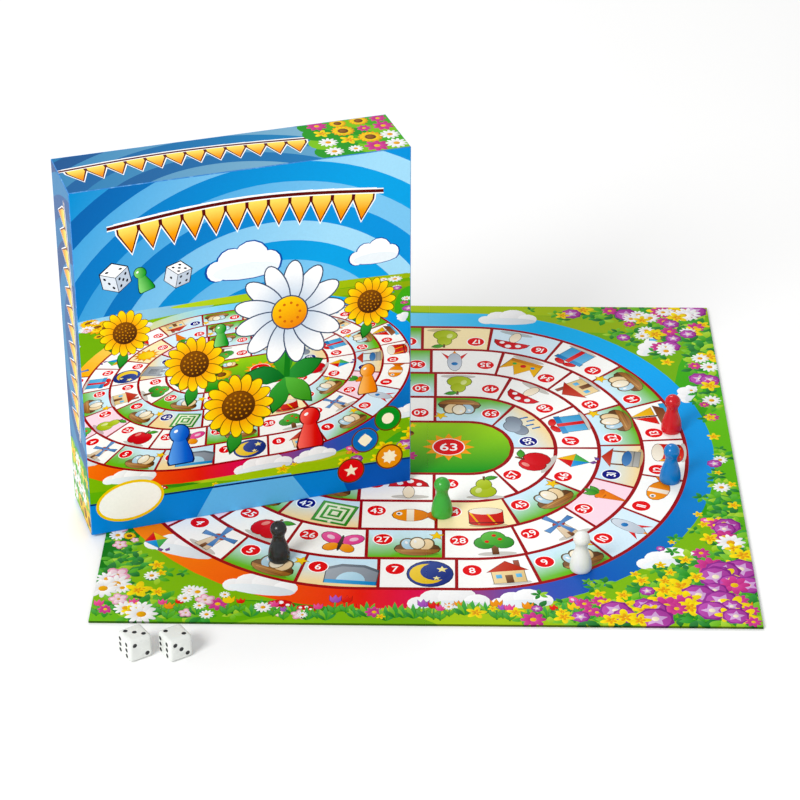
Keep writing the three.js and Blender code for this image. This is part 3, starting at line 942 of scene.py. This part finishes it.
def folded_down(side):
    """Takes art past one side of the board and folds it down over that edge, all in mm."""
    turn = Matrix.Rotation(math.radians(SIDE_TURNS[side]), 4, "Z")
    fold = Matrix.Translation((0, -over_edge, 0)) @ Matrix.Rotation(math.pi / 2, 4, "X")
    return turn @ fold @ Matrix.Translation((0, over_edge, 0)) @ turn.inverted()


# Painted shade: the flaps' art is darkened because the real board's edge lies in shade.
painted_shade_edge_art = dimmed(board_art, EDGE_PAINTED_SHADE)
print("print turned over at", round(over_edge, 2), "mm from the middle")

# %% Printed quarters of the board
for row in ("front", "back"):
    for column in ("left", "right"):
        node = f"board_print_{row}_{column}"
        bottom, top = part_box(node)
        xs = (-over_edge, -HAIR) if column == "left" else (HAIR, over_edge)
        ys = (-over_edge, -HAIR) if row == "front" else (HAIR, over_edge)
        face_place = Matrix.Translation((board_middle.x, board_middle.y, top.z)) @ Matrix.Scale(MM, 4)
        sheet = printed_sheet(f"face_sheet_{row}_{column}", slab(xs[0], ys[0], xs[1], ys[1]), board_art,
                              (top.z - bottom.z) / MM, face_place)
        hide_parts(node)
        drop = (bottom.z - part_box(f"board_core_{row}_{column}")[0].z) / MM
        flap_place = Matrix.Translation((board_middle.x, board_middle.y, bottom.z)) @ Matrix.Scale(MM, 4)
        near, far = (-over_edge - drop, -over_edge), (over_edge, over_edge + drop)
        side_ys = (-half_board_mm, -HAIR) if row == "front" else (HAIR, half_board_mm)
        strips = {row: (xs, near if row == "front" else far),
                  column: (near if column == "left" else far, side_ys)}
        pieces = [sheet]
        for side, ((left, right), (low, top)) in strips.items():
            pieces.append(printed_sheet(f"edge_turn_{row}_{column}_{side}", slab(left, low, right, top),
                                        painted_shade_edge_art, FLAP_PAPER, flap_place @ folded_down(side)))
        for piece in pieces:
            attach(piece, f"board_{row}_{column}")

# %% [markdown]
# ## The lid's wrap
# A set-up box is greyboard wrapped in printed paper, so its edges are soft where the paper turns over them.
# The blue of the paper is rubbed paler in places a few millimetres wide. A block the size of the lid is
# opened at the back, its edges are rounded, and Solidify gives the paper its thickness. The flat prints on
# its faces follow in a later step.

# %% Wrap paper
wrap_paper, tree, shader, spot = start_material("blue_printed_wrap_paper", 0.36)
rub = add(tree, "TexNoise", {"Vector": spot, "Scale": 1 / 0.004, "Detail": 5.0,
                             "Roughness": 0.65}).outputs["Fac"]
worn = add(tree, "MapRange", {"Value": rub, "From Min": 0.5, "From Max": 0.75}).outputs["Result"]
tone = add(tree, "Mix", {0: worn, 6: linear("#2a7fca"), 7: linear("#7db9e6")}, data_type="RGBA")
tree.links.new(tone.outputs[2], shader.inputs["Base Color"])
bump = add(tree, "Bump", {"Height": rub, "Strength": 0.15, "Distance": 0.0001})
tree.links.new(bump.outputs["Normal"], shader.inputs["Normal"])
print("made", wrap_paper.name)

# %% Lid wrap
EDGE_MM, WRAP_MM = 0.6, 0.2
SMOOTH_BELOW = math.radians(40)
width_mm, depth_mm, height_mm = lid_size_mm
to_box = Matrix.Translation(box_corner) @ box_turn @ Matrix.Scale(MM, 4)
bpy.ops.object.select_all(action="DESELECT")
bpy.ops.mesh.primitive_cube_add(size=1, location=(width_mm / 2, depth_mm / 2, height_mm / 2),
                                scale=(width_mm, depth_mm, height_mm))
lid_wrap = bpy.context.object
lid_wrap.name = "lid_wrap_paper"
bpy.ops.object.transform_apply(location=True, rotation=True, scale=True)
soft_edge = lid_wrap.modifiers.new("soft_edge", "BEVEL")
soft_edge.width = EDGE_MM
soft_edge.segments = 4
bpy.ops.object.modifier_apply(modifier="soft_edge")
bpy.ops.object.mode_set(mode="EDIT")
bpy.ops.mesh.select_all(action="DESELECT")
bpy.ops.mesh.select_mode(type="FACE")
bpy.ops.object.mode_set(mode="OBJECT")
for face in lid_wrap.data.polygons:
    face.select = face.center.y > depth_mm - EDGE_MM
bpy.ops.object.mode_set(mode="EDIT")
bpy.ops.mesh.delete(type="FACE")
bpy.ops.mesh.select_all(action="SELECT")
bpy.ops.mesh.region_to_loop()
bpy.ops.mesh.extrude_edges_move(TRANSFORM_OT_translate={"value": (0, EDGE_MM, 0)})
bpy.ops.object.mode_set(mode="OBJECT")
paper = lid_wrap.modifiers.new("paper", "SOLIDIFY")
paper.thickness = WRAP_MM
paper.offset = -1
bpy.ops.object.modifier_apply(modifier="paper")
lid_wrap.data.transform(to_box)
lid_wrap.data.materials.append(wrap_paper)
bpy.ops.object.shade_smooth_by_angle(angle=SMOOTH_BELOW)
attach(lid_wrap, "box_lid")
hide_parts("lid_wrap")
print("lid wrap:", len(lid_wrap.data.polygons), "faces")

# %% [markdown]
# ## Pictures on the box
# The lid shows broad arcs of blue sky, a cord of golden pennants, and the game seen in perspective with
# flowers, pawns and dice on it. The perspective is a homography: the four corners of the board's art are sent
# to four points of the lid, and every point between follows. Places are in mm from the lower left corner of
# a face.

# %% Art in perspective
def in_perspective(art, side, corners):
    """Art from a square, sent to four corners: front left, front right, back right and back left."""
    (x0, y0), (x1, y1), (x2, y2), (x3, y3) = corners
    dx1, dx2, sx = x1 - x2, x3 - x2, x0 - x1 + x2 - x3
    dy1, dy2, sy = y1 - y2, y3 - y2, y0 - y1 + y2 - y3
    span = dx1 * dy2 - dx2 * dy1
    g, h = (sx * dy2 - dx2 * sy) / span, (dx1 * sy - sx * dy1) / span
    a, b, d, e = x1 - x0 + g * x1, x3 - x0 + h * x3, y1 - y0 + g * y1, y3 - y0 + h * y3

    def move(point):
        u, v = point[0] / side / 2 + 0.5, point[1] / side / 2 + 0.5
        w = g * u + h * v + 1
        return ((a * u + b * v + x0) / w, (d * u + e * v + y0) / w)

    return sent(art, move)


tiny = in_perspective([([(1, 1)], "#ffffff")], 1, ((0, 0), (4, 0), (3, 2), (1, 2)))
print("the back right corner goes to", [round(value, 3) for value in tiny[0][0][0]])

# %% Sky arcs and pennants
ARC_BLUES = (("#0a68ac", "#2aa2e2"), ("#4aa4d8", "#b4e2f8"),
             ("#1074ba", "#3eb0e8"), ("#3a98d0", "#93d0f2"))


def blue_arcs(x, y, least, most, width, deep, bright):
    """Concentric arcs of sky round x, y, from the largest in. They fade from a deep place to a bright one."""
    radii = [most - width * i for i in range(int((most - least) / width))]
    return [(oval(x, y, radius, 0.94 * radius, 0, 96), (*ARC_BLUES[i % 4], deep, bright))
            for i, radius in enumerate(radii)]


def bunting(x, y, count, step, drop, turn=0.0):
    """A cord of golden pennants with wine-red and white rims, hung in a slight arch."""
    def hung(i):
        return (i - (count - 1) / 2) * step, drop * (0.5 + 0.3 * math.cos(math.pi * (i / (count - 1) - 0.5)))

    rims = {3.0: "#ffffff", 1.7: "#6b1a16", 0.0: ("#f28c10", "#fff08c", (0, -drop), (0, 0))}
    art = []
    for grow, paint in rims.items():
        half = 0.42 * step + grow * 0.7
        edge_top, edge_low = grow * 0.8, -0.3 * drop
        flag = [(-half, edge_top), (-half, edge_low), (0, -drop - grow), (half, edge_low), (half, edge_top)]
        for i in range(count):
            art += placed([(flag, paint)], *hung(i), 1, -14 * (i / (count - 1) - 0.5))
    cord = [hung(i) for i in steps(-0.9, count - 0.1, 2 * count)]
    for half, paint in ((1.9, "#ffffff"), (1.1, "#6b1a16")):
        art.append(([(u, v + half) for u, v in cord] + [(u, v - half) for u, v in reversed(cord)], paint))
    return placed(art, x, y, 1, turn)


print("a cord of 12 pennants has", len(bunting(0, 0, 12, 14, 19)), "shapes")


# %% Pawns and dice as drawings
def drawn_pawn(colour, pale, dark):
    """A pawn's outline with a lit and a shaded side, 24 mm tall."""
    side = [(6, 0), (6.6, 2), (5.8, 6), (4.2, 11), (3.2, 14)]
    body = [(-x, y) for x, y in reversed(side)]
    rim = [(x * 1.14, y * 1.04 - 0.7) for x, y in side] + [(x * 1.14, y * 1.04 - 0.7) for x, y in body]
    return [(rim, dark), (oval(0, 18, 5.7, count=20), dark), (side + body, (pale, colour, (-6, 6), (5, 6))),
            (oval(0, 18, 5, count=20), (pale, colour, (-5, 20), (4, 17))),
            (oval(-1.8, 19.6, 1.2, 0.8, 30), "#ffffff")]


PIPS = {1: [(0, 0)], 2: [(-1, 1), (1, -1)], 3: [(-1, 1), (0, 0), (1, -1)],
        4: [(-1, -1), (-1, 1), (1, -1), (1, 1)], 5: [(-1, -1), (-1, 1), (0, 0), (1, -1), (1, 1)],
        6: [(-1, -1), (0, -1), (1, -1), (-1, 1), (0, 1), (1, 1)]}


def drawn_die(top, left, right):
    """A die drawn at a slant: three faces with pips, on a dark rim."""
    art = [([(0, -11), (9.6, -5.4), (9.6, 5.6), (0, 11), (-9.6, 5.6), (-9.6, -5.4)], "#28324a")]
    slants = ((top, "#ffffff", (0, 5.1), (4.4, 2.5), (-4.4, 2.5)),
              (left, "#e3e9f0", (-4.6, -2.8), (4.4, -2.5), (0, 5)),
              (right, "#c6d0dc", (4.6, -2.8), (4.4, 2.5), (0, 5)))
    for face, colour, (x, y), (ux, uy), (vx, vy) in slants:
        def on_face(i, j):
            return (x + i * ux + j * vx, y + i * uy + j * vy)

        art.append(([on_face(i, j) for i, j in ((-1, -1), (1, -1), (1, 1), (-1, 1))], colour))
        for i, j in PIPS[face]:
            art.append(([on_face(0.5 * i + p, 0.5 * j + q) for p, q in oval(0, 0, 0.19, count=9)], "#1c2230"))
    return art


PAWNS_DRAWN = {"red": ("#d8232a", "#ff8a80", "#6d0f14"), "blue": ("#1b5fc8", "#7fb6f5", "#0d2a63"),
               "green": ("#2f9e3b", "#9fe08f", "#134d1d"), "orange": ("#f08a1a", "#ffd08a", "#7a3f08")}
print("pawns drawn in", list(PAWNS_DRAWN))

# %% Contours and great flowers
def outlined(art, size, colour, grow=1.12):
    """Art on a slightly larger copy of itself in one colour, as a drawn contour."""
    return placed([(points, colour) for points, _ in art], 0, 0, size * grow) + placed(art, 0, 0, size)


def inked_flower(count, distance, length, width, paints, heart):
    """A large flower with a drawn contour round every petal."""
    ink, base, tip = paints
    art = []
    for i in range(count):
        angle = 360 * i / count
        x, y = distance * math.cos(math.radians(angle)), distance * math.sin(math.radians(angle))
        art.append((oval(x, y, length + 0.25, width + 0.25, angle, 22), ink))
        fade = (base, tip, (0.5 * x, 0.5 * y), (1.4 * x, 1.4 * y))
        art.append((oval(x, y, length, width, angle, 22), fade))
    art.append((oval(0, 0, heart + 0.25, count=26), ink))
    return art


def ring_of_dots(radius, count, size, colour):
    """Round dots evenly spaced on a circle."""
    return [(oval(radius * math.cos(a), radius * math.sin(a), size, count=8), colour)
            for a in steps(0, math.tau, count)[1:]]


great_daisy = inked_flower(13, 6.0, 4.2, 1.75, ("#4a5a78", "#cfdcea", "#ffffff"), 3.2)
great_daisy += [(oval(0, 0, 3.2, count=26), ("#f08f10", "#ffd83a", (1.5, -3), (-1, 3)))]
great_daisy += ring_of_dots(1.9, 9, 0.28, "#d9780c")
great_sunflower = inked_flower(15, 7.2, 3.4, 1.75, ("#6b3f0c", "#f59a10", "#ffe23c"), 4.9)
great_sunflower += [(oval(0, 0, 4.9, count=26), ("#4e2c10", "#9a6428", (2, -5), (-2, 5)))]
for radius, count in ((3.7, 14), (2.4, 9), (1.1, 5)):
    great_sunflower += ring_of_dots(radius, count, 0.32, "#d79a3c")
print("great daisy:", len(great_daisy), "shapes; great sunflower:", len(great_sunflower))

# %% [markdown]
# ## The lid's front and sides
# The front has the sky and the pennants above, the board in perspective below them, and a plain strip with a
# bare oval and four discs at the foot. The sides carry the sky on round the edges, over small flower beds.
# Each is one list of shapes, painted from the back to the front.

# %% Lid front
front = blue_arcs(128, 104, 20, 300, 14.5, (-10, 250), (150, 160))
front += in_perspective(small_art, half_board_mm, ((-60, 20), (272, 20), (216, 158), (4, 158)))
front += [([(-1, -1), (221, -1), (221, 19), (-1, 24)], "#2a93dc"),
          ([(70, -1), (150, -1), (136, 22), (84, 23)], "#7fc4ef"),
          ([(176, -1), (221, -1), (221, 19), (168, 20.4)], "#0f66bd"),
          ([(-1, 22.6), (221, 17.6), (221, 19), (-1, 24)], "#123f7a")]
front += bunting(112, 212, 12, 14, 19)
for x, y, width in ((110, 182, 44), (196, 176, 30)):
    front += placed(outlined(cloud(width), 1, "#1d5fae", 1.06), x, y)
STEM = [(133, 96), (137, 96), (139, 140), (136, 140)]
front += placed(outlined(foliage, 2.2, "#155e28", 1.06), 134, 96) + [(STEM, "#2f8a34")]
front += placed(great_daisy, 138, 143, 3.6)
for x, y, size in ((192, 142, 1.5), (74, 116, 1.7), (102, 80, 2.0), (30, 146, 1.4)):
    front += placed(outlined(foliage[:4], size * 0.8, "#155e28", 1.1), x, y - 8 * size)
    front += placed(great_sunflower, x, y, size * 1.1)
front += placed(drawn_die(2, 3, 5), 26, 186, 1.0, 10) + placed(drawn_die(5, 1, 4), 66, 182, 0.9, -12)
for colour, x, y, size, turn in (("green", 46, 174, 0.75, 18), ("red", 150, 40, 1.3, 0),
                                 ("blue", 62, 44, 1.25, 0), ("orange", 190, 74, 0.95, 0),
                                 ("green", 92, 126, 0.7, 0)):
    front += placed(drawn_pawn(*PAWNS_DRAWN[colour]), x, y, size, turn)
front += [(oval(27, 22, 23, 15, 8, 32), "#f2cf3f"), (oval(27, 22, 21, 13, 8, 32), "#fbfaf4")]
DISCS = ((178, 16, DISC, star(0, 0, 5)), (188, 38, "#2f7fc4", star(0, 0, 5, 0.8, 4)),
         (204, 52, "#2f9e3b", oval(0, 0, 4.2)), (205, 22, "#f0a11c", star(0, 0, 5.5, 0.7, 8)))
for x, y, colour, mark in DISCS:
    disc = [(oval(0, 0, 9.6, count=24), "#7a4a1d"), (oval(0, 0, 8.6, count=24), colour), (mark, "#fff6dc")]
    front += placed(disc, x, y)
print("lid front:", len(front), "shapes")

# %% Lid sides
# Painted shade: the left side's arcs are dimmed, and fade towards a point far below the face to stay deep.
side_left = dimmed(blue_arcs(70, 130, 8, 330, 15, (20, 160), (120, -200)), 0.15)
side_left += bunting(26, 148, 12, 13.5, 20, -90)
# Painted shade: the top's arcs are dimmed too.
top_side = dimmed(blue_arcs(96, -60, 30, 260, 14, (-20, 60), (190, 0)), 0.15)
top_side += bunting(82, 24, 12, 13, 18)
side_right = blue_arcs(-20, 120, 8, 330, 15, (60, 250), (-30, 40)) + bunting(26, 148, 12, 13.5, 20, 90)
bottom_side = blue_arcs(110, 90, 8, 300, 14, (-20, -10), (200, 60))
garden = random.Random(9)
for art, columns, rows in ((side_left, (8, 22, 36, 48), (8, 22, 38)), (side_right, (6, 20, 34, 48), (8, 24)),
                           (top_side, (172, 186, 200, 213), (8, 22, 36, 48))):
    spots = [(x, y) for x in columns for y in rows]
    for x, y in spots:
        art.append((oval(x, y, 13, 11, 0, 16), garden.choice(("#5fb53f", "#8cc63f", "#3fa13c"))))
    for x, y in spots:
        bloom = garden.choice((daisy, sunflower, cosmos, spray))
        art += placed(bloom, x, y, garden.uniform(0.5, 0.9), garden.uniform(0, 60))
print("lid sides:", [len(art) for art in (side_left, side_right, top_side, bottom_side)], "shapes")

# %% [markdown]
# ## Prints on the wrap
# Each face of the lid gets its own printed sheet, a few hundredths of a millimetre thick, laid on the wrap.
# One table says how a sheet's width, height and thickness run along the box's own directions.

# %% Prints on the lid's five faces
PRINT_MM = 0.04
rim = 0.8 * EDGE_MM
faces = {
    "front": (front, (width_mm, height_mm), (0, 0, 0), ((1, 0, 0), (0, 0, 1), (0, -1, 0))),
    "left": (side_left, (depth_mm, height_mm), (0, depth_mm, 0), ((0, -1, 0), (0, 0, 1), (-1, 0, 0))),
    "right": (side_right, (depth_mm, height_mm), (width_mm, 0, 0), ((0, 1, 0), (0, 0, 1), (1, 0, 0))),
    "top": (top_side, (width_mm, depth_mm), (0, 0, height_mm), ((1, 0, 0), (0, 1, 0), (0, 0, 1))),
    "bottom": (bottom_side, (width_mm, depth_mm), (0, depth_mm, 0), ((1, 0, 0), (0, -1, 0), (0, 0, -1))),
}
for name, (art, (across, tall), corner, axes) in faces.items():
    turn = Matrix(axes).transposed().to_4x4()
    place = to_box @ Matrix.Translation(corner) @ turn @ Matrix.Translation((0, 0, PRINT_MM))
    sheet = printed_sheet(f"lid_print_{name}", slab(rim, rim, across - rim, tall - rim), art, PRINT_MM, place)
    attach(sheet, "box_lid")

# %% [markdown]
# ## Pawns
# A pawn is a solid of revolution: a rounded foot, a belly that tapers to a waist, and a ball for a head. It
# could be stacked from a cone and a sphere, but then the neck would have a hard crease. So one outline is
# drawn point by point with Extrude and turned round with Spin. Its height is the CAD pawn's.

# %% Pawn outline
pawn_low, pawn_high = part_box("pawn_red")
TALL = round((pawn_high.z - pawn_low.z) / MM, 2)
FOOT, BELLY, BELLY_HEIGHT = 6.2, 7.2, 2.6
WAIST, WAIST_HEIGHT, TAPER = 3.6, 16.4, 1.8
HEAD = 5.4
NECK_FROM, NECK_IN, NECK_RISE, CHIN_OUT = 0.82, 0.35, 1.2, 1.0
outline = [(FOOT + (BELLY - FOOT) * math.sin(a), BELLY_HEIGHT * (1 - math.cos(a)))
           for a in steps(0, math.pi / 2, 8)]
for rise in steps(0, NECK_FROM, 14)[1:]:
    outline.append((WAIST + (BELLY - WAIST) * (1 - rise ** TAPER),
                    BELLY_HEIGHT + (WAIST_HEIGHT - BELLY_HEIGHT) * rise))
neck_start, neck_pull = outline[-1], (WAIST - NECK_IN, WAIST_HEIGHT + NECK_RISE)
head_start = -math.acos((WAIST + CHIN_OUT) / HEAD)
neck_end = (HEAD * math.cos(head_start), TALL - HEAD + HEAD * math.sin(head_start))
for t in steps(0, 1, 10)[1:-1]:
    outline.append(tuple((1 - t) ** 2 * a + 2 * t * (1 - t) * b + t * t * c
                         for a, b, c in zip(neck_start, neck_pull, neck_end)))
outline += [(HEAD * math.cos(a), TALL - HEAD + HEAD * math.sin(a))
            for a in steps(head_start, math.pi / 2, 16)]
outline = [(0.0, 0.0)] + outline[:-1] + [(0.0, TALL)]
print("pawn outline:", len(outline), "points,", TALL, "mm tall")

# %% Turn one pawn
bpy.ops.object.select_all(action="DESELECT")
bpy.ops.mesh.primitive_plane_add(size=MM)
first_pawn = bpy.context.object
bpy.ops.object.mode_set(mode="EDIT")
bpy.ops.mesh.select_mode(type="VERT")
bpy.ops.mesh.select_all(action="SELECT")
bpy.ops.mesh.merge(type="CENTER")
for (r0, z0), (r1, z1) in zip(outline, outline[1:]):
    bpy.ops.mesh.extrude_vertices_move(TRANSFORM_OT_translate={"value": ((r1 - r0) * MM, 0, (z1 - z0) * MM)})
bpy.ops.mesh.select_all(action="SELECT")
bpy.ops.mesh.spin(steps=48, angle=math.tau, center=(0, 0, 0), axis=(0, 0, 1))
bpy.ops.mesh.select_all(action="SELECT")
bpy.ops.mesh.remove_doubles(threshold=2e-6)
bpy.ops.mesh.normals_make_consistent(inside=False)
bpy.ops.object.mode_set(mode="OBJECT")
bpy.ops.object.shade_smooth_by_angle(angle=SMOOTH_BELOW)
print("pawn:", len(first_pawn.data.polygons), "faces")

# %% [markdown]
# ## Moulded polystyrene
# The pawns are injection-moulded polystyrene, glossy as it leaves the polished mould. Slight flow marks a few
# millimetres wide change the tone and the gloss a little. The five pawns are copies of the turned one, each
# with its own mesh and colour.

# %% Five pawns in moulded polystyrene
PLASTICS = {"red": "#cc101c", "blue": "#0076c0", "green": "#3aa636", "white": "#e9ebe6", "black": "#202426"}


def polystyrene(name, colour):
    """Glossy moulded plastic with faint flow marks a few mm wide."""
    material, tree, shader, spot = start_material(name, 0.2, 1.59)
    shader.inputs["Specular IOR Level"].default_value = 0.32
    flow = add(tree, "TexNoise", {"Vector": spot, "Scale": 1 / 0.006, "Detail": 3.0,
                                  "Distortion": 1.5}).outputs["Fac"]
    shade = add(tree, "MapRange", {"Value": flow, "To Min": 0.93, "To Max": 1.07}).outputs["Result"]
    toned = add(tree, "HueSaturation", {"Value": shade, "Color": linear(colour)}).outputs["Color"]
    tree.links.new(toned, shader.inputs["Base Color"])
    gloss = add(tree, "MapRange", {"Value": flow, "To Min": 0.16, "To Max": 0.28}).outputs["Result"]
    tree.links.new(gloss, shader.inputs["Roughness"])
    bump = add(tree, "Bump", {"Height": flow, "Strength": 0.1, "Distance": 0.0001})
    tree.links.new(bump.outputs["Normal"], shader.inputs["Normal"])
    return material


for colour, shade in PLASTICS.items():
    bottom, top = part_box("pawn_" + colour)
    foot = Vector(((bottom.x + top.x) / 2, (bottom.y + top.y) / 2, bottom.z + HAIR * MM))
    pawn = bpy.data.objects.new("turned_pawn_" + colour, first_pawn.data.copy())
    bpy.context.scene.collection.objects.link(pawn)
    pawn.data.materials.append(polystyrene("polystyrene_" + colour, shade))
    pawn.data.transform(Matrix.Translation(foot))
    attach(pawn, "pawn_" + colour)
    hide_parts("pawn_" + colour)
bpy.data.objects.remove(first_pawn)
print("pawns:", list(PLASTICS))

# %% [markdown]
# ## Dice
# Dice of this kind are moulded in white urea resin and tumbled, which rounds their edges and leaves a satin
# gloss with a slight haze. The pips are hollows painted with black enamel, a little duller than the resin. A
# cube is rounded with a Bevel modifier, and spheres are taken out of it with a Boolean, which passes their
# enamel on to the hollows. Opposite faces add up to seven.

# %% Dice materials
die_plastic, tree, shader, spot = start_material("moulded_urea_resin", 0.26, 1.55)
haze = add(tree, "TexNoise", {"Vector": spot, "Scale": 1 / 0.004, "Detail": 3.0}).outputs["Fac"]
tone = add(tree, "Mix", {0: haze, 6: linear("#dde0db"), 7: linear("#e6e9e4")}, data_type="RGBA")
tree.links.new(tone.outputs[2], shader.inputs["Base Color"])
gloss = add(tree, "MapRange", {"Value": haze, "To Min": 0.2, "To Max": 0.32}).outputs["Result"]
tree.links.new(gloss, shader.inputs["Roughness"])
enamel, tree, shader, spot = start_material("black_enamel", 0.35)
flecks = add(tree, "TexNoise", {"Vector": spot, "Scale": 1 / 0.0006, "Detail": 2.0}).outputs["Fac"]
tone = add(tree, "Mix", {0: flecks, 6: linear("#08090b"), 7: linear("#1d1f23")}, data_type="RGBA")
tree.links.new(tone.outputs[2], shader.inputs["Base Color"])
print("made", die_plastic.name, enamel.name)

# %% Cubes and pip spheres
die_low, die_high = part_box("die_left")
DIE = round((die_high.z - die_low.z) / MM, 2)
DIE_EDGE, DIE_TURN = 2.4, 33.7
PIP, PIP_DEEP, PIP_APART = 1.5, 0.5, 4.1
pip_ball = (PIP ** 2 + PIP_DEEP ** 2) / (2 * PIP_DEEP)


def tumbled_cube(name):
    """A resin cube with rounded edges."""
    bpy.ops.object.select_all(action="DESELECT")
    bpy.ops.mesh.primitive_cube_add(size=DIE * MM)
    cube = bpy.context.object
    cube.name = name
    cube.data.materials.append(die_plastic)
    round_edge = cube.modifiers.new("round_edge", "BEVEL")
    round_edge.width = DIE_EDGE * MM
    round_edge.segments = 6
    bpy.ops.object.modifier_apply(modifier="round_edge")
    return cube


def pip_spheres(up, front_face, left_face):
    """One object of enamelled spheres, one for each pip of a die that shows these faces."""
    balls = []
    for shown, angle, axis in ((up, 0, "X"), (7 - up, 180, "X"), (front_face, 90, "X"),
                               (7 - front_face, -90, "X"), (left_face, -90, "Y"), (7 - left_face, 90, "Y")):
        onto = Matrix.Rotation(math.radians(angle), 4, axis)
        for across, upward in PIPS[shown]:
            spot = onto @ Vector((across * PIP_APART, upward * PIP_APART, DIE / 2 - PIP_DEEP + pip_ball))
            bpy.ops.object.select_all(action="DESELECT")
            bpy.ops.mesh.primitive_uv_sphere_add(segments=20, ring_count=14, radius=pip_ball * MM,
                                                 location=spot * MM)
            bpy.context.object.data.materials.append(enamel)
            balls.append(bpy.context.object)
    for one in balls:
        one.select_set(True)
    bpy.context.view_layer.objects.active = balls[0]
    bpy.ops.object.join()
    return bpy.context.object


print("die of", DIE, "mm; pip spheres of radius", round(pip_ball, 2), "mm")

# %% Dice
for name, *shown in (("left", 3, 2, 6), ("right", 2, 3, 6)):
    die = tumbled_cube("tumbled_die_" + name)
    drill = pip_spheres(*shown)
    drilled = die.modifiers.new("drilled", "BOOLEAN")
    drilled.object = drill
    drilled.solver = "EXACT"
    drilled.material_mode = "TRANSFER"
    select_only(die)
    bpy.ops.object.modifier_apply(modifier="drilled")
    bpy.data.objects.remove(drill)
    bpy.ops.object.shade_smooth_by_angle(angle=math.radians(30))
    bottom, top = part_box("die_" + name)
    turn = Matrix.Rotation(math.radians(DIE_TURN), 4, "Z")
    die.data.transform(Matrix.Translation((bottom + top) / 2) @ turn)
    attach(die, "die_" + name)
    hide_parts("die_" + name)
    print(die.name, len(die.data.polygons), "faces,", len(die.data.materials), "materials")

# %% [markdown]
# ## The rules leaflet
# Inside the box lies a folded sheet of plain uncoated paper, white and matt, with a small picture of the
# track on its front. It is the leaflet's CAD shape with a printed sheet on its front leaf.

# %% Leaflet
LEAF_RIM = 0.5
leaflet_paper = fibre_paper("white_leaflet_paper", "#efede6", "#fbfaf6", 3.0, 0.7, 0.00003)
nodes["rules_leaflet"].data.materials.clear()
nodes["rules_leaflet"].data.materials.append(leaflet_paper)
leaf_low, leaf_high = box_extent("rules_leaflet")
leaf_wide, leaf_tall = (leaf_high[0] - leaf_low[0]) / MM, (leaf_high[2] - leaf_low[2]) / MM
cover = [(slab(inset, inset, leaf_wide - inset, leaf_tall - inset), colour)
         for inset, colour in ((6, "#2a93dc"), (8, "#fbfaf6"))]
cover += placed(land + track + goal, leaf_wide / 2, 76, 0.3)
cover += bunting(leaf_wide / 2, 174, 8, 13, 17)
to_leaf = Matrix.Translation(box_turn @ Vector(leaf_low)) @ box_turn @ Matrix.Scale(MM, 4)
upright = Matrix(((1, 0, 0), (0, 0, 1), (0, -1, 0))).transposed().to_4x4()
place = to_leaf @ upright @ Matrix.Translation((0, 0, PRINT_MM))
leaf_edge = slab(LEAF_RIM, LEAF_RIM, leaf_wide - LEAF_RIM, leaf_tall - LEAF_RIM)
sheet = printed_sheet("leaflet_print", leaf_edge, cover, PRINT_MM, place)
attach(sheet, "rules_leaflet")
